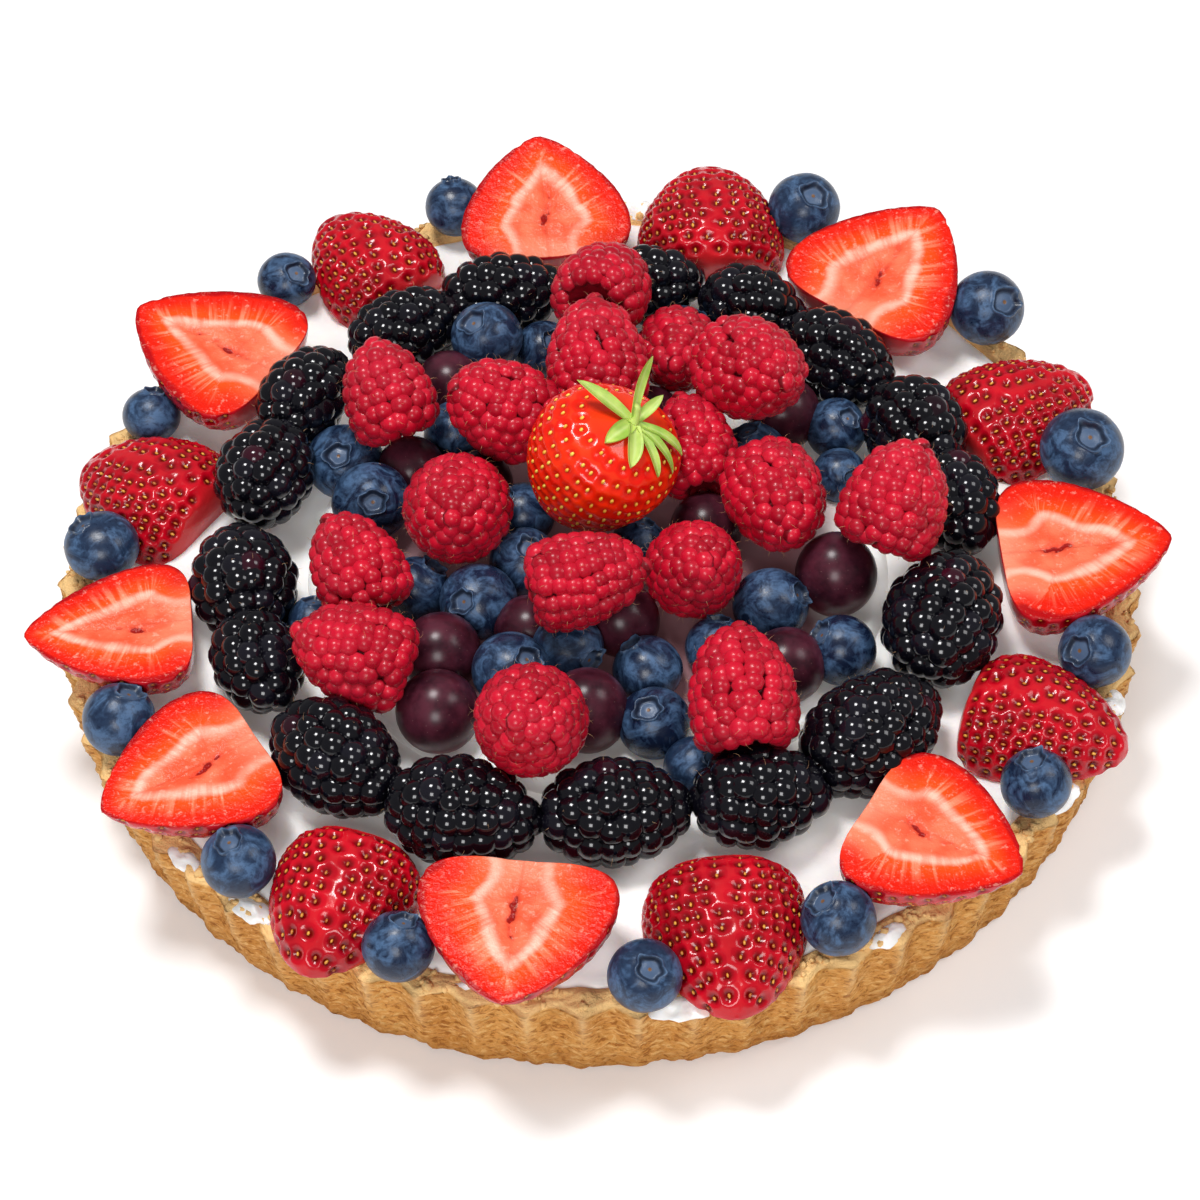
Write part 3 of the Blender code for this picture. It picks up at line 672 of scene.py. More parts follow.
def leaf_material():
    g = Graph("leaf")
    vein, tone = g.value("vein"), g.value("tone")
    streaks = g.noise(260, 2)
    g.colour = g.mix(g.span(streaks, 0.3, 0.7), (0.25, 0.44, 0.040), (0.47, 0.64, 0.11))
    g.lay((0.62, 0.74, 0.28), vein, 0.55)
    g.lay((0.60, 0.70, 0.20), tone, 0.6)
    g.set(Base_Color=g.colour, Roughness=0.42, Normal=g.bump(streaks, 0.15, 0.5))
    g.set(Subsurface_Weight=0.2, Subsurface_Scale=0.001, Subsurface_Radius=(0.5, 1.0, 0.2))
    return g.material


def floor_material():
    g = Graph("floor")
    g.set(Base_Color=g.mix(g.noise(6, 2), (0.89, 0.89, 0.89), (0.91, 0.91, 0.91)), Roughness=0.7)
    g.set(Emission_Color=(1.0, 1.0, 1.0, 1.0), Emission_Strength=0.12, Specular_IOR_Level=0.2)
    return g.material


# Crust and cream


COLUMNS_PER_FLUTE = 13
WALL_ROWS = 34
RIM_ROWS = 16
FLUTE_ROUNDNESS = 1.4
FLAKE_DEPTH = 0.42
LUMP_DEPTH = 0.45
CRUMB_HEIGHT = 0.55
RIM_LUMP_HEIGHT = 0.95
INNER_RADIUS = RIM_RADIUS - WALL_THICKNESS


def make_crust(material):
    """The fluted shell: flaky outside, crumbly uneven rim, inner wall down under the cream, flat underside."""
    columns = FLUTES * COLUMNS_PER_FLUTE
    around = angles_round(columns)
    run = around * MEAN_RADIUS
    scallop = 1.0 - 2.0 * np.abs(np.sin(around * FLUTES / 2)) ** FLUTE_ROUNDNESS
    edge_wave = 0.55 * np.sin(7 * around + 1.0) + 0.35 * np.sin(23 * around) + 0.25 * np.sin(41 * around)
    rim_height = CRUST_HEIGHT - 0.5 + 0.5 * edge_wave
    rows = []
    values = {"foot": [], "ridge": [], "top": []}

    def add_row(radius, height, foot, ridge, top):
        rows.append(ring_at(radius, around, height))
        for name, value in (("foot", foot), ("ridge", ridge), ("top", top)):
            values[name].append(np.broadcast_to(value, columns))

    def unrolled(inward, upward, wide=1.0, high=1.0):
        return np.stack(np.broadcast_arrays(run / wide, inward, upward / high), axis=-1)

    for share in np.arange(WALL_ROWS) / (WALL_ROWS - 1):
        height = share * (rim_height - 0.9)
        strength = FLUTE_DEPTH * (0.3 + 0.7 * min(1.0, share * 1.25) ** 1.2)
        flakes = np.clip(1.9 * noise_of(unrolled(0.0, height, 2.2, 1.1), 1.0, 3.0), -1, 1)
        lumps = noise_of(unrolled(5.0, height, 7.0, 4.0), 1.0, 9.0)
        radius = FOOT_RADIUS + (RIM_RADIUS - FLUTE_DEPTH - FOOT_RADIUS) * share + strength * scallop
        radius = radius + FLAKE_DEPTH * (np.where(flakes > 0, 0.8, 1.5) * flakes) + LUMP_DEPTH * lumps
        if share == 0:
            radius = radius - 0.7
        ridge = np.clip(scallop, 0, 1) ** 3 * max(0.0, share - 0.35) * 1.5
        add_row(radius, height, max(0.0, 1.0 - share * 3.2) ** 1.5, ridge, 0.0)
    outer = RIM_RADIUS - FLUTE_DEPTH + FLUTE_DEPTH * scallop - 0.5
    for share in np.arange(RIM_ROWS) / (RIM_ROWS - 1):
        spots = unrolled(share * 9.0, 0.0)
        crumb, lump = noise_of(spots, 1.5, 4.0), noise_of(spots, 5.0, 6.0)
        rounding = -0.9 * max(0.0, 1.0 - share * 5.0) ** 2 - 2.6 * max(0.0, share - 0.75)
        height = rim_height + CRUMB_HEIGHT * crumb + RIM_LUMP_HEIGHT * lump + rounding
        radius = outer + (INNER_RADIUS - outer) * share
        add_row(radius + 0.3 * crumb, height, 0.0, 0.25 * (1 - share), 1.0)
    for share in (0.3, 1.0):
        add_row(INNER_RADIUS - 0.8 * share, CRUST_HEIGHT - 2.0 - 5.0 * share, 0.0, 0.0, 0.8)
    points, faces = poled_body(np.array(rows), (0, 0, 0.0), (0, 0, CRUST_HEIGHT - 7.0))
    shape = Shape(*values)
    shape.add(points, faces, **{name: with_poles(0.0, parts, 0.0) for name, parts in values.items()})
    dress(shape.make("crust_baked", [material]), "pastry", "crust")


CREAM_REACH = 112.2
FOLD_HEIGHT = 1.1
FINE_FOLD_HEIGHT = 0.35
SWELL_RADIUS, SWELL_WIDTH, SWELL_HEIGHT = 89, 7, 1.6


def make_cream(material):
    """The filling's soft folded surface over a plain body inside the crust."""
    around = angles_round(300)
    bottom = INNER_RADIUS - 2.7
    rows = [ring_at(bottom, around, FLOOR_THICKNESS + 0.3), ring_at(bottom + 1.6, around, CREAM_TOP - 3.0)]
    for radius in np.concatenate([np.linspace(CREAM_REACH, 60, 62), np.linspace(55, 4, 8)]):
        spots = ring_at(radius, around, 0.0)
        height = CREAM_TOP + 0.9 + FOLD_HEIGHT * noise_of(spots, 9.0, 2.0)
        height = height + FINE_FOLD_HEIGHT * np.abs(noise_of(spots, 3.5, 5.0))
        height += SWELL_HEIGHT * math.exp(-(((radius - SWELL_RADIUS) / SWELL_WIDTH) ** 2))
        height -= 2.2 * max(0.0, (radius - CREAM_REACH + 2.7) / 2.7) ** 2
        rows.append(ring_at(radius, around, height))
    points, faces = poled_body(np.array(rows), (0, 0, FLOOR_THICKNESS + 0.3), (0, 0, CREAM_TOP + 1))
    shape = Shape("tint")
    shape.add(points, faces)
    dress(shape.make("cream_filling", [material]), "cream", "cream")


# Smears of cream over the rim: azimuth, radius, size along the rim, size across it
SMEARS = [
    (-83.0, 117.6, 11.0, 5.5),
    (-79.5, 116.2, 7.0, 4.5),
    (-60.5, 116.0, 8.0, 4.0),
    (-35.0, 116.5, 9.0, 4.5),
    (-21.5, 116.5, 7.0, 4.5),
    (-138.5, 116.0, 8.0, 4.0),
    (-129.0, 115.5, 9.0, 4.5),
    (22.0, 115.0, 7.0, 4.0),
    (84.0, 115.5, 12.0, 5.0),
    (141.0, 115.5, 8.0, 4.0),
    (-104.0, 114.0, 7.0, 3.5),
]


def make_smears(material):
    """Low mounds of cream whose uneven edges dip under the crumbs of the rim."""
    shape = Shape("tint")
    around = angles_round(36)
    for azimuth, radius, along, across in SMEARS:
        rows = []
        for share in np.linspace(1.0, 0.06, 12):
            flat = ring_at(0.62 * share, around, 0.0) * np.array([across, along, 1.0])
            spread = 1 + 0.30 * noise_of(flat, 2.4, azimuth)
            flat[:, :2] *= spread[:, None]
            flat[:, 2] = 1.7 * (1 - share**2) - 1.2 + 1.1 * noise_of(flat, 2.6, 2 * azimuth) * (1 - share**4)
            flat[:, 2] += 0.35 * noise_of(flat, 1.0, azimuth)
            rows.append(flat)
        points, faces = poled_body(np.array(rows), (0, 0, -2.5), (0, 0, rows[-1][:, 2].mean()))
        shape.add(points @ turn(azimuth).T + polar(radius, azimuth, CRUST_HEIGHT), faces)
    dress(shape.make("cream_smears", [material]), "cream")


CRUMBS = 420


def make_crumbs(material):
    """Loose crumbs along the rim."""
    shape = Shape("foot", "ridge", "top")
    ball_points, ball_faces = unit_ball(7, 4)
    for _ in range(CRUMBS):
        azimuth = rng.uniform(0, 360)
        radius = rng.uniform(112.5, 117.5)
        size = rng.uniform(0.45, 1.15) * np.array([1.0, rng.uniform(0.7, 1.4), rng.uniform(0.6, 0.9)])
        points = ball_points * (1 + 0.5 * noise_of(ball_points, 0.7, rng.uniform(0, 90)))[:, None] * size
        height = CRUST_HEIGHT - 0.45 + rng.uniform(0, 0.5)
        points = points @ turn(rng.uniform(0, 360)).T + polar(radius, azimuth, height)
        shape.add(points, ball_faces, top=1.0)
    dress(shape.make("rim_crumbs", [material]), "pastry")


# Strawberries


def seed_spots(profile, length, width, depth, low, high, pitch=3.25):
    """Places of the seeds on the skin: share along the axis and angle, in staggered rows."""
    spots = []
    steps = int(length * 1.08 / pitch)
    for row in range(steps):
        share = 0.04 + 0.93 * (row + 0.5) / steps
        arc = (high - low) * profile(share) * (width / 2 + depth) / 2
        count = max(2, round(arc / pitch))
        for step in range(count):
            angle = low + (high - low) * (step + 0.5 * (row % 2) + 0.25) / count
            if angle < high:
                spots.append((share + rng.normal(0, 0.005), angle + rng.normal(0, 0.022)))
    return np.array(spots)


def skin_point(profile, share, angle, length, width, depth):
    half = profile(np.clip(share, 0.002, 0.998))
    side, down = np.cos(angle), np.abs(np.sin(angle))
    return np.stack([
        (share - 0.5) * length,
        0.5 * width * half * np.sign(side) * np.abs(side) ** 0.76,
        -depth * half * down**0.84,
    ], axis=-1)


def inward_of(points, axis):
    """Directions from points of the skin to the fruit's axis, leaning towards its middle."""
    return unit(points * axis * 0.75 - points)


def dimple(points, spots, radius, depth, axis):
    """Pushes the points near a seed inwards; also gives how deep in a pit each point is."""
    tree = KDTree(len(spots))
    for number, spot in enumerate(spots):
        tree.insert(spot, number)
    tree.balance()
    gap = np.array([tree.find(point)[2] for point in points])
    pit = np.exp(-((gap / radius) ** 2))
    pillow = 0.22 * np.exp(-(((gap - 1.8 * radius) / (0.7 * radius)) ** 2))
    return points + inward_of(points, axis) * (depth * (pit - pillow))[:, None], pit


SEED_BALL = unit_ball(6, 3)
# Spans of half the width and half the length of a seed, and half its thickness
HALF_SEED = ((0.28, 0.38), (0.50, 0.66), 0.30)
WHOLE_SEED = ((0.36, 0.46), (0.62, 0.80), 0.32)


def add_seeds(shape, spots, axis, sunk, spans, slot):
    """A seed in the bottom of every dimple; its half width and half length lie in the first two spans, and the
    third number is its half thickness."""
    sizes = [rng.uniform(low, high, len(spots)) for low, high in spans[:2]]
    sizes.append(np.full(len(spots), spans[2]))
    inward = inward_of(spots, axis)
    scatter(shape, SEED_BALL, spots + inward * sunk, -inward, np.column_stack(sizes), slot, axis)


def cut_face_values(cut, shares, across, profile, length, width, number):
    """For each point of a cut face: how far in from the skin it lies, its run along the skin, how deep in the
    slit at the core it is, and how near the pale base."""
    fine = np.linspace(0.06, 1.0, 400)
    tree = KDTree(2 * len(fine))
    edge = 0.5 * width * profile(fine)
    for side in (0, 1):
        for step, share in enumerate(fine):
            tree.insert(((share - 0.5) * length, (2 * side - 1) * edge[step], 0.0), step + side * len(fine))
    tree.balance()
    found = [tree.find((point[0], point[1], 0.0)) for point in cut.reshape(-1, 3)]
    gap = np.array([row[2] for row in found]).reshape(cut.shape[:2])
    nearest = np.array([row[1] for row in found]).reshape(cut.shape[:2])
    run = (nearest % len(fine)) / len(fine) * length * 1.25 + 70.0 * (nearest // len(fine))
    along = shares[:, None]
    to_tip = np.clip((along - 0.45) / 0.5, 0, 1)
    inward = gap / (0.25 * width * (1 - 0.45 * to_tip))
    line = across[None, :] * profile(along)
    wander = 0.05 * np.sin(7 * along + number) + 0.03 * np.sin(19 * along + 2.3 * number)
    size = np.exp(-(((along - 0.33) / 0.12) ** 2)) + 0.5 * np.exp(-(((along - 0.56) / 0.13) ** 2))
    ragged = 0.7 + 0.6 * noise_of(cut, 1.6, 2.9 * number)
    slit = np.clip(1.25 * size * np.exp(-(((line - wander) / 0.060) ** 2)) * ragged, 0, 1)
    base = np.exp(-((along / 0.13) ** 2)) * np.exp(-((line / 0.42) ** 2))
    return inward, run, slit, base


def make_strawberry_half(number, materials):
    heading, length, width, face, lift = STRAWBERRY_HALVES[number - 1]
    depth_share, tip_power, rows, belly, flat, pit_radius, pit_depth = HALF_FORMS[face]
    depth = width * depth_share

    def profile(share):
        return fruit_width(share, tip_power)

    shares = axis_shares(rows, 0.45)
    angles = math.pi * np.arange(belly) / (belly - 1)
    seeds = seed_spots(profile, length, width, depth, 0.03, math.pi - 0.03)
    seed_points = skin_point(profile, seeds[:, 0], seeds[:, 1], length, width, depth)
    skin = skin_point(profile, *np.meshgrid(shares, angles, indexing="ij"), length, width, depth)
    skin, pit = dimple(skin.reshape(-1, 3), seed_points, pit_radius, pit_depth, AXIS_X)
    skin[:, 1] += 0.35 * noise_of(skin, 14.0, 3.1 * number)
    skin[:, 2] = np.minimum(skin[:, 2], 0.0)
    skin = skin.reshape(rows, belly, 3)

    across = np.linspace(-1, 1, flat + 2)[1:-1]
    weight = ((across + 1) / 2)[None, :, None]
    cut = skin[:, -1:] * (1 - weight) + skin[:, :1] * weight
    inward, run, slit, base = cut_face_values(cut, shares, across, profile, length, width, number)
    relief, crumb = noise_of(cut, 4.0, 1.3 * number), noise_of(cut, 1.5, 5.3 * number)
    inside = np.clip((inward - 1.1) * 3, 0, 1)
    cut[:, :, 2] += 0.12 * relief - 1.0 * slit - 0.35 * inside - 0.22 * np.abs(crumb) * inside

    ring = np.concatenate([skin, cut], axis=1)
    points, faces = poled_body(ring, (-0.5 * length, 0.0, -0.12 * depth), (0.5 * length, 0.0, -0.05 * depth))

    def whole(skin_value, cut_value):
        parts = [np.broadcast_to(skin_value, (rows, belly)), np.broadcast_to(cut_value, (rows, flat))]
        return with_poles(0.0, np.concatenate(parts, axis=1), 0.0)

    shape = Shape("pit", "pale", "inward", "run", "tone", "slit", "base")
    quads = faces[0]
    is_flesh = (quads[:, 0] - 1) % (belly + flat) >= belly - 1
    pale = np.clip(1 - shares[:, None] / 0.10, 0, 1) if face == "skin" else 0.0
    on_skin = {"pit": whole(pit.reshape(rows, belly), 0.0), "pale": whole(pale, 0.0)}
    on_cut = {"inward": inward, "run": run, "slit": slit, "base": base}
    on_cut = {name: whole(0.0, value) for name, value in on_cut.items()}
    shape.add(points, [], tone=7.3 * number, **on_skin, **on_cut)
    shape.blocks += [(quads[~is_flesh], 0), (quads[is_flesh], 1), (faces[1], 0), (faces[2], 0)]
    add_seeds(shape, seed_points, AXIS_X, 0.60, HALF_SEED, 2)
    shape.rotate(turn(heading, lift, face == "skin"))
    node = f"strawberry_half_{number:02d}"
    dress(shape.make(f"half_{number:02d}", materials, seat(shape, node)), "strawberry", node)


def make_whole_strawberry(materials):
    rows, columns = 80, 124
    shares = axis_shares(rows, 0.4)
    seeds = seed_spots(whole_width, CENTRE_LENGTH, CENTRE_WIDTH, CENTRE_WIDTH / 2, 0.0, math.tau, 3.2)

    def place(share, angle):
        half = 0.5 * CENTRE_WIDTH * whole_width(np.clip(share, 0.002, 0.998))
        uneven = 1 + 0.03 * np.sin(2 * angle + 0.6) + 0.02 * np.sin(3 * angle)
        return ring_at(half * uneven, angle, (0.5 - share) * CENTRE_LENGTH)

    seed_points = place(seeds[:, 0], seeds[:, 1])
    skin = place(*np.meshgrid(shares, angles_round(columns), indexing="ij"))
    skin, pit = dimple(skin.reshape(-1, 3), seed_points, 1.1, 0.65, AXIS_Z)
    end = 0.5 * CENTRE_LENGTH
    points, faces = poled_body(skin.reshape(rows, columns, 3)[::-1], (0, 0, -end), (0, 0, end))
    pale = np.repeat(np.clip(1 - shares / 0.012, 0, 1)[::-1, None], columns, axis=1)
    shape = Shape("pit", "pale")
    pit = pit.reshape(rows, columns)[::-1]
    shape.add(points, faces, pit=with_poles(0, pit, 0), pale=with_poles(0, pale, 1))
    add_seeds(shape, seed_points, AXIS_Z, 0.40, WHOLE_SEED, 1)
    matrix = upright_to(Vector(CENTRE_AXIS).normalized())
    shape.rotate(matrix)
    offset = seat(shape, "strawberry_whole") + np.array(CENTRE_NUDGE)
    dress(shape.make("whole_strawberry", materials, offset), "strawberry", "strawberry_whole")
    return offset, matrix


# Sepals of the calyx: turn round the stalk, length, width, first slope, curl
SEPALS = [
    (-5, 14.5, 3.2, 6, -46),
    (-27, 14.5, 3.2, 3, -52),
    (-50, 12.5, 3.0, 2, -42),
    (-88, 10.5, 5.0, 6, -34),
    (-132, 9.0, 5.2, 8, -30),
    (163, 15.0, 4.6, 12, 2),
    (104, 15.0, 3.0, 40, 78),
    (52, 8.5, 3.4, 20, 45),
]


SEPAL_THICKNESS = 0.35
STALK_LENGTH = 3.4


def make_calyx(material, offset, matrix):
    """Slender sepals that lie out from the stalk and curl at their ends, and the short stalk."""
    shape = Shape("vein", "tone")
    rows, columns = 14, 7
    index = np.arange(rows * columns).reshape(rows, columns)
    rim = np.concatenate([index[:, 0], index[-1, 1:], index[-2::-1, -1], index[0, -2:0:-1]])
    after = np.roll(rim, -1)
    edge = np.stack([rim, after, after + index.size, rim + index.size], axis=-1)
    upper = grid_faces(rows, columns, closed=False)
    faces = [upper[:, ::-1], upper + index.size, edge]
    across = 2 * np.arange(columns) / (columns - 1) - 1
    vein = np.tile(np.maximum(0.0, 1 - np.abs(across) * 3), 2 * rows)
    for around, length, width, slope, curl in SEPALS:
        out, side = polar(1.0, around, 0.0), polar(1.0, around + 90, 0.0)
        place = out * 0.6
        top = []
        for row in range(rows):
            share = row / (rows - 1)
            tilt = math.radians(slope + (curl - slope) * share**1.6)
            if row:
                place = place + (out * math.cos(tilt) + AXIS_Z * math.sin(tilt)) * length / (rows - 1)
            half = 0.5 * width * (0.45 + 0.9 * share) * (1 - share**2.2) ** 0.9 + 0.05
            fold = 0.35 * np.abs(across) ** 1.5 * half - 0.15 * math.sin(5 * share + around) * across
            normal = AXIS_Z * math.cos(tilt) - out * math.sin(tilt)
            top.append(place + np.outer(across * half, side) + np.outer(fold, normal))
        top = np.concatenate(top)
        points = np.concatenate([top, top - AXIS_Z * SEPAL_THICKNESS])
        shape.add(points, faces, vein=vein, tone=rng.uniform(0, 0.6))
    stalk = []
    for share in np.linspace(0, 1, 9):
        radius = 1.15 - 0.45 * min(1, share * 3) + (0.12 if share > 0.95 else 0)
        lean = np.array([-0.9 * share**2, 1.6 * share**2, 0])
        stalk.append(ring_at(radius, angles_round(14), STALK_LENGTH * share) + lean)
    points, faces = poled_body(np.array(stalk), (0, 0, -0.2), (-0.9, 1.6, STALK_LENGTH + 0.1))
    shape.add(points, faces, tone=0.9)
    lift = AXIS_Z * (0.5 * CENTRE_LENGTH + 0.1)
    shape.points = [part + lift for part in shape.points]
    shape.rotate(matrix)
    dress(shape.make("calyx_leaves", [material], offset), "leaf", "strawberry_calyx")


# Berries made of drupelets

# Shares of the length and of the width, from the stalk's end to the tip
RASPBERRY_PROFILE = [
    (0.01, 0.62), (0.10, 0.92), (0.32, 1.0), (0.56, 0.93), (0.78, 0.72), (0.93, 0.4), (1.0, 0.0),
]
BRAMBLE_PROFILE = [
    (0.0, 0.0), (0.06, 0.5), (0.24, 0.88), (0.5, 1.0), (0.77, 0.8), (0.95, 0.38), (1.0, 0.0),
]


def drupelet_places(profile, length, width, pitch):
    """Staggered rings of places on a berry round the X axis, with the outward direction at each."""
    profile = np.array(profile)
    along = np.interp(np.linspace(0, 1, 400), np.linspace(0, 1, len(profile)), profile[:, 0])
    half = np.interp(along, profile[:, 0], profile[:, 1])
    for _ in range(2):
        half = np.convolve(np.pad(half, 12, mode="edge"), np.ones(25) / 25, mode="valid")
    x = (along - 0.5) * length
    radius = 0.5 * width * half
    run = np.concatenate([[0], np.cumsum(np.hypot(np.diff(x), np.diff(radius)))])

    def spot(at):
        return np.array([np.interp(at, run, x), np.interp(at, run, radius)])

    rings = max(5, round(run[-1] / (pitch * 0.84)))
    places, normals = [], []
    for ring in range(rings + 1):
        at = run[-1] * (ring + 0.35) / (rings + 0.35)
        spot_x, spot_r = spot(at)
        ahead_x, ahead_r = spot(at + 0.5) - spot(at - 0.5)
        slope = math.atan2(ahead_r, ahead_x)
        count = max(1, round(math.tau * spot_r / pitch))
        if count == 1:
            spot_r = 0.0
        for step in range(count):
            angle = math.tau * (step + 0.5 * (ring % 2)) / count + rng.normal(0, 0.06)
            round_x = np.array([math.cos(angle), math.sin(angle)])
            places.append((spot_x + rng.normal(0, 0.2), *(spot_r * round_x)))
            normals.append((-math.sin(slope), *(math.cos(slope) * round_x)))
    return np.array(places), np.array(normals)


# Profile, ball of a drupelet, how far it stands out as a share of its size, and what is left for it at the ends
RASPBERRY_KIND = (RASPBERRY_PROFILE, unit_ball(8, 6), 0.68, 0.6)
BRAMBLE_KIND = (BRAMBLE_PROFILE, unit_ball(11, 7), 0.55, 1.0)
CORE_WIDTH_SHARE = 0.80


def drupelet_berry(shape, kind, length, width, pitch, matrix, place):
    """Adds one berry of drupelets over a core that the materials paint dark as shade between them; gives the
    drupelets' tops and the directions they face.
    """
    profile, ball, bulge, margin = kind
    length, width = length - margin, width - margin
    spots, normals = drupelet_places(profile, length, width, pitch)
    count = len(spots)
    sizes = pitch * rng.uniform(0.58, 0.69, (count, 1))
    spans = ((0.94, 1.06), (0.94, 1.06), (0.84, 0.96))
    sizes = sizes * np.column_stack([rng.uniform(low, high, count) for low, high in spans])
    centres = spots - normals * sizes[:, 2:] * bulge
    tone = rng.uniform(0, 1, (count, 1))
    # edge is 0 at a drupelet's top and 1 from its side down; the materials paint sheen and shade by it
    edge = np.clip(1 - ball[0][:, 2], 0, 1)[None, :]
    turned, facing = centres @ matrix.T + place, normals @ matrix.T
    scatter(shape, ball, turned, facing, sizes, tone=tone, edge=edge)
    rings = []
    for along, half in profile:
        radius = 0.5 * width * max(half, 0.02) * CORE_WIDTH_SHARE
        ring = ring_at(radius, angles_round(16), (0.03 + along * 0.94 - 0.5) * length)
        rings.append(ring[:, [2, 0, 1]])
    hollow = 0.30 if profile[0][1] > 0.1 else 0.02
    points, faces = poled_body(np.array(rings), ((hollow - 0.5) * length, 0, 0), (0.46 * length, 0, 0))
    # edge 1 on the core: the materials paint it dark as shade between the drupelets
    shape.add(points @ matrix.T + place, faces, tone=0.5, edge=1.0)
    return turned + facing * sizes[:, 2:], facing


HAIR_RADIUS = 0.045


def add_hairs(shape, roots, normals, share, length):
    """Fine curved threads, three-sided, from a share of the drupelets."""
    for root, normal in zip(roots, normals):
        if rng.uniform() > share:
            continue
        side = np.cross(normal, rng.normal(0, 1, 3))
        side /= np.linalg.norm(side)
        other = np.cross(normal, side)
        reach = length * rng.uniform(0.5, 1.2)
        rings = []
        for step in range(4):
            along = step / 3
            centre = root + normal * (reach * along * (1 - 0.35 * along) - 0.1) + side * reach * 0.7 * along**2
            size = HAIR_RADIUS * (1 - 0.75 * along)
            corners = [centre + size * (math.cos(a) * side + math.sin(a) * other) for a in (0, 2.1, 4.2)]
            rings.append(corners)
        points, faces = poled_body(np.array(rings), root - normal * 0.1, centre + side * 0.05)
        shape.add(points, faces, 1)


def make_raspberry(number, materials):
    length, width, heading, rise = RASPBERRIES[number - 1]
    shape = Shape("tone", "edge")
    matrix = turn(heading, rise)
    pitch = rng.uniform(3.7, 4.0)
    roots, normals = drupelet_berry(shape, RASPBERRY_KIND, length, width, pitch, matrix, np.zeros(3))
    node = f"raspberry_{number:02d}"
    offset = seat(shape, node)
    add_hairs(shape, roots, normals, 0.62, 1.9)
    dress(shape.make(f"raspberry_fruit_{number:02d}", materials, offset), "raspberry", node)


def make_bramble(number, materials):
    shape = Shape("tone", "edge")
    roots, normals = [], []
    for node_number, azimuth, radius, length, width, heading in BRAMBLES:
        if node_number == number:
            pitch = rng.uniform(5.2, 5.7)
            place = polar(radius, azimuth, BRAMBLE_HEIGHT)
            found = drupelet_berry(shape, BRAMBLE_KIND, length, width, pitch, turn(heading), place)
            roots.append(found[0])
            normals.append(found[1])
    node = f"bramble_{number:02d}"
    offset = seat(shape, node)
    add_hairs(shape, np.concatenate(roots), np.concatenate(normals), 0.35, 1.6)
    dress(shape.make(f"bramble_fruit_{number:02d}", materials, offset), "bramble", node)


# Round berries


# Rings of a blueberry from the middle of its crown, as shares of the collar's angle; the collar is at 1
CROWN_STEPS = [0.12, 0.3, 0.48, 0.62, 0.72, 0.80, 0.86, 0.91, 0.95, 0.99, 1.03, 1.08, 1.15, 1.26, 1.45]
FIVE_LOBED_SHARE = 0.7
SUNKEN_DEPTH = 0.15


def blueberry_body(diameter, share, right, up, columns=54):
    """A berry whose crown is a ragged star-shaped collar round a sunken disc."""
    collar = 0.38 + rng.uniform(-0.06, 0.07)
    around = angles_round(columns)
    phase = rng.uniform(0, math.tau)
    count = 5 if rng.uniform() < FIVE_LOBED_SHARE else 6
    lobes = 0.5 + 0.5 * np.cos(count * around + phase + 0.6 * np.sin(around) + 0.4 * np.sin(2 * around + phase))
    lobes = lobes * (0.62 + 0.38 * np.sin(2 * around + 2 * phase))
    lobes = lobes * (0.8 + 0.2 * np.sin(3 * around + 5 * phase))
    ragged = 0.8 + 0.2 * np.sin(13 * around + phase) * np.sin(5 * around)
    radius = diameter / 2
    rings, crown, lip = [], [], []
    for step in np.concatenate([CROWN_STEPS, np.linspace(1.7, (math.pi - 0.09) / collar, 18)]):
        near = math.exp(-(((step - 0.95) / 0.30) ** 2))
        fall = step * collar * (1 + near * 0.30 * (lobes - 0.5) + near * 0.05 * ragged)
        sunk = SUNKEN_DEPTH * (1 - float(np.clip((step - 0.70) / 0.22, 0, 1)) ** 1.5)
        raised = np.exp(-(((step - 0.99) / 0.07) ** 2)) * (0.03 + 0.13 * lobes * ragged)
        reach = radius * (1 - sunk + raised)
        rings.append(ring_at(reach * np.sin(fall), around, reach * np.cos(fall)))
        crown.append(np.full(columns, min(step, 3.0)))
        lip.append(np.clip(raised / 0.12, 0, 1))
    points, faces = poled_body(np.array(rings)[::-1], (0, 0, -radius), (0, 0, radius * 0.83))
    points = points * (1 + 0.025 * noise_of(points, 6.0, rng.uniform(0, 50)))[:, None]
    points = points @ upright_to(Vector(picture_direction(right, up))).T
    points[:, 2] *= share
    return points, faces, with_poles(3.0, crown[::-1], 0.0), with_poles(0.0, lip[::-1], 0.0)


def make_rim_blueberry(number, material):
    azimuth, diameter, share, right, up = RIM_BLUEBERRIES[number - 1]
    points, faces, crown, lip = blueberry_body(diameter, share, right, up)
    shape = Shape("crown", "lip", "tone")
    shape.add(points, faces, crown=crown, lip=lip, tone=rng.uniform(0, 1))
    node = f"blueberry_{number:02d}"
    dress(shape.make(f"blueberry_fruit_{number:02d}", [material], seat(shape, node)), "blueberry", node)


MOUND_HEIGHT = 27.4


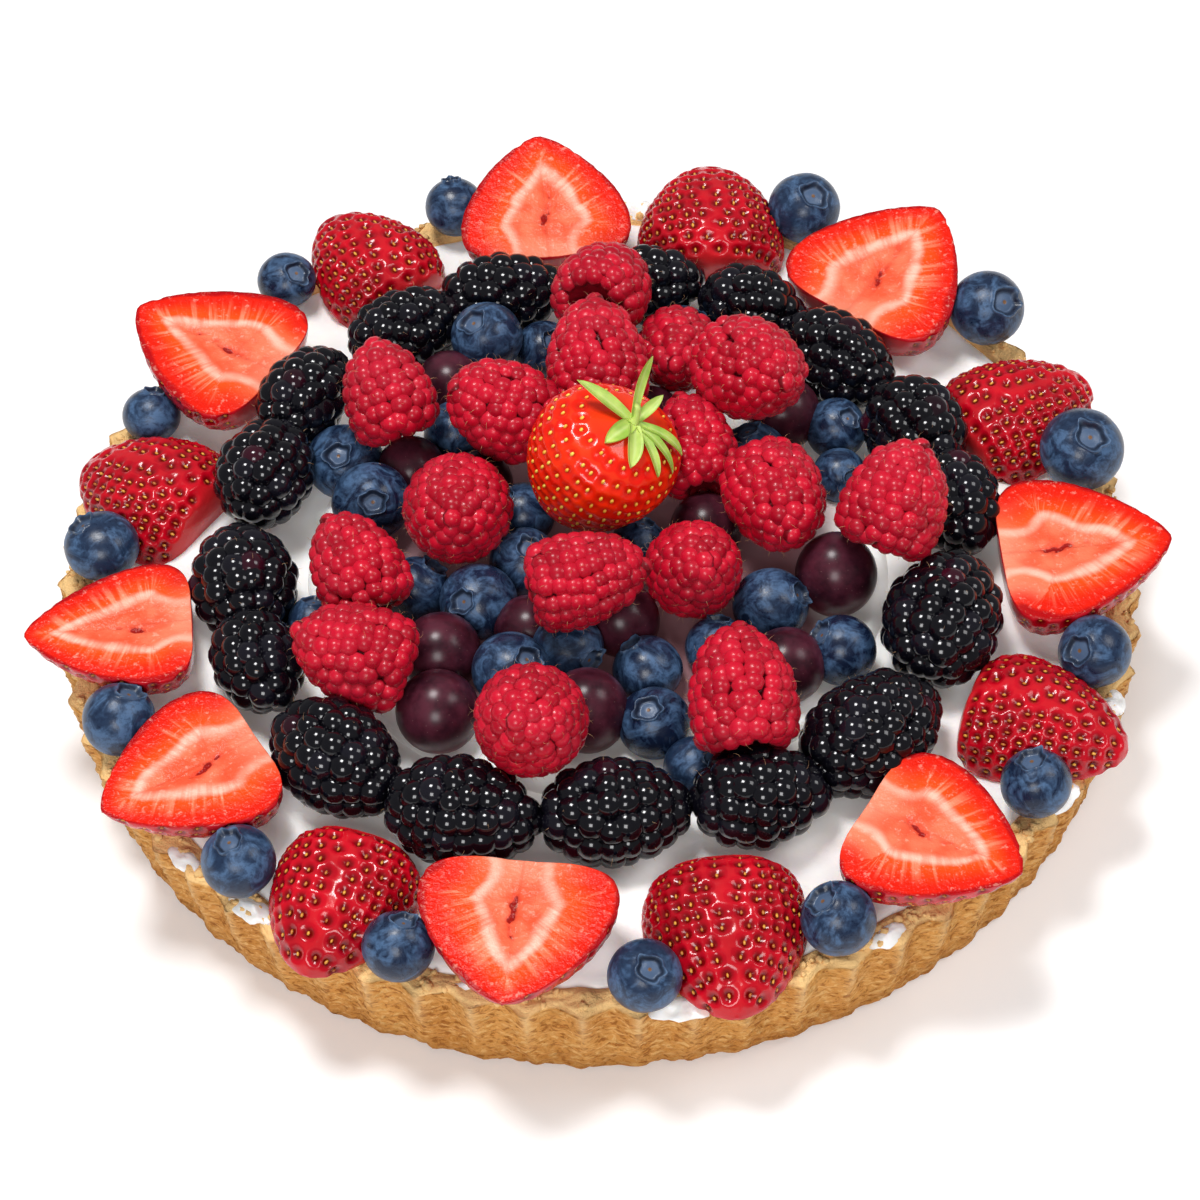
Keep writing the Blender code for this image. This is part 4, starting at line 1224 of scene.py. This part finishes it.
def make_heap(blueberry, grape, cream):
    """The small berries of the heap over a low mound of cream, in place of the fused node."""
    shape = Shape("crown", "lip", "tone")
    for x, y, z, diameter, share, right, up in HEAP_BLUEBERRIES:
        height = max(z, CORE_FLOOR + 0.5 * diameter * share)
        points, faces, crown, lip = blueberry_body(diameter, share, right, up, 46)
        shape.add(points + np.array([x, y, height]), faces, crown=crown, lip=lip, tone=rng.uniform(0, 1))
    dress(shape.make("heap_blueberries", [blueberry]), "blueberry", "berry_heap")
    shape = Shape("tone")
    ball_points, ball_faces = unit_ball(30, 20)
    for x, y, z, diameter, share in HEAP_GRAPES:
        height = max(z, CORE_FLOOR + 0.5 * diameter * share)
        points = ball_points * np.array([1.0, 1.0, share]) * diameter / 2
        points = points * (1 + 0.015 * noise_of(points, 8.0, rng.uniform(0, 50)))[:, None]
        shape.add(points + np.array([x, y, height]), ball_faces, tone=rng.uniform(0, 1))
    dress(shape.make("heap_grapes", [grape]), "blueberry", "berry_heap")
    around = angles_round(150)
    rows = [ring_at(CORE_RADIUS, around, CORE_FLOOR - 1.5), ring_at(CORE_RADIUS - 1.0, around, 26.2)]
    for radius in np.linspace(CORE_RADIUS - 2.5, 2.0, 40):
        height = MOUND_HEIGHT + 1.4 * noise_of(ring_at(radius, around, 0.0), 8.0, 21.0)
        rows.append(ring_at(radius, around, height))
    points, faces = poled_body(np.array(rows), (0, 0, CORE_FLOOR - 1.5), (0, 0, MOUND_HEIGHT))
    shape = Shape("tint")
    # painted shade: tint darkens the mound inside the heap, where the berries shade its gaps, and fades out
    # towards its edge
    outward = np.hypot(points[:, 0], points[:, 1]) + 9.0 * noise_of(points, 12.0, 31.0)
    shape.add(points, faces, tint=np.clip((56.0 - outward) / 9.0, 0, 1))
    dress(shape.make("heap_cream", [cream]), "cream", "berry_heap")


# Stage


FLOOR_REACH = 4.0
FLOOR_DROP = 0.0004


def make_floor(material):
    mesh = bpy.data.meshes.new("floor")
    corners = [(-1, -1), (1, -1), (1, 1), (-1, 1)]
    mesh.from_pydata([(x * FLOOR_REACH, y * FLOOR_REACH, -FLOOR_DROP) for x, y in corners], [], [(0, 1, 2, 3)])
    mesh.materials.append(material)
    floor = bpy.data.objects.new("floor", mesh)
    bpy.context.scene.collection.objects.link(floor)


def add_area_light(name, position, size, power):
    data = bpy.data.lights.new(name, "AREA")
    data.shape = "SQUARE"
    data.size = size
    data.energy = power
    lamp = bpy.data.objects.new(name, data)
    lamp.location = position
    lamp.rotation_euler = (Vector((0, 0, AIM_HEIGHT)) - Vector(position)).to_track_quat("-Z", "Y").to_euler()
    bpy.context.scene.collection.objects.link(lamp)


# Area lights: name, place, size and power
LIGHTS = [
    ("key", (-0.22, 0.12, 1.15), 0.30, 9.9),
    ("fill", (0.70, 0.00, 0.85), 0.4, 2.9),
    ("front", (-0.15, -0.95, 0.75), 0.4, 5.8),
]
AMBIENT_STRENGTH = 0.25
AIM_HEIGHT = 0.02


def make_lights():
    world = bpy.data.worlds.new("studio")
    world.use_nodes = True
    background = world.node_tree.nodes["Background"]
    background.inputs["Color"].default_value = (1.0, 1.0, 1.0, 1.0)
    background.inputs["Strength"].default_value = AMBIENT_STRENGTH
    bpy.context.scene.world = world
    bpy.context.scene.view_settings.view_transform = "Standard"
    for light in LIGHTS:
        add_area_light(*light)


def make_camera():
    data = bpy.data.cameras.new("camera")
    data.sensor_width = 36.0
    data.lens = CAMERA_LENS
    data.shift_y = CAMERA_SHIFT
    camera = bpy.data.objects.new("camera", data)
    elevation = math.radians(CAMERA_ELEVATION)
    distance = CAMERA_DISTANCE * MM
    camera.location = (0, -distance * math.cos(elevation), distance * math.sin(elevation))
    roll = Matrix.Rotation(math.radians(CAMERA_ROLL), 3, "Z")
    aim = Euler((math.pi / 2 - elevation, 0, 0)).to_matrix() @ roll
    camera.rotation_euler = aim.to_euler()
    bpy.context.scene.collection.objects.link(camera)
    bpy.context.scene.camera = camera


def main():
    make_camera()
    make_lights()
    make_floor(floor_material())

    cream = cream_material()
    pastry = pastry_material()
    make_crust(pastry)
    make_crumbs(pastry)
    make_cream(cream)
    make_smears(cream)

    flesh = flesh_material()
    seeds = seed_material("seed", (0.44, 0.110, 0.014), (0.76, 0.36, 0.045))
    yellow_seeds = seed_material("seed_yellow", (0.85, 0.45, 0.040), (0.92, 0.68, 0.100))
    deep_skin = skin_material("strawberry_skin", *DEEP_SKIN_COLOURS)
    bright_skin = skin_material("strawberry_bright", *BRIGHT_SKIN_COLOURS)
    for number in range(1, len(STRAWBERRY_HALVES) + 1):
        make_strawberry_half(number, [deep_skin, flesh, seeds])
    offset, matrix = make_whole_strawberry([bright_skin, yellow_seeds])
    make_calyx(leaf_material(), offset, matrix)

    blueberry = blueberry_material()
    for number in range(1, len(RIM_BLUEBERRIES) + 1):
        make_rim_blueberry(number, blueberry)
    make_heap(blueberry, grape_material(), cream)

    hair = hair_material()
    bramble = bramble_material()
    for number in range(1, BRAMBLES[-1][0] + 1):
        make_bramble(number, [bramble, hair])
    raspberry = raspberry_material()
    for number in range(1, len(RASPBERRIES) + 1):
        make_raspberry(number, [raspberry, hair])


main()
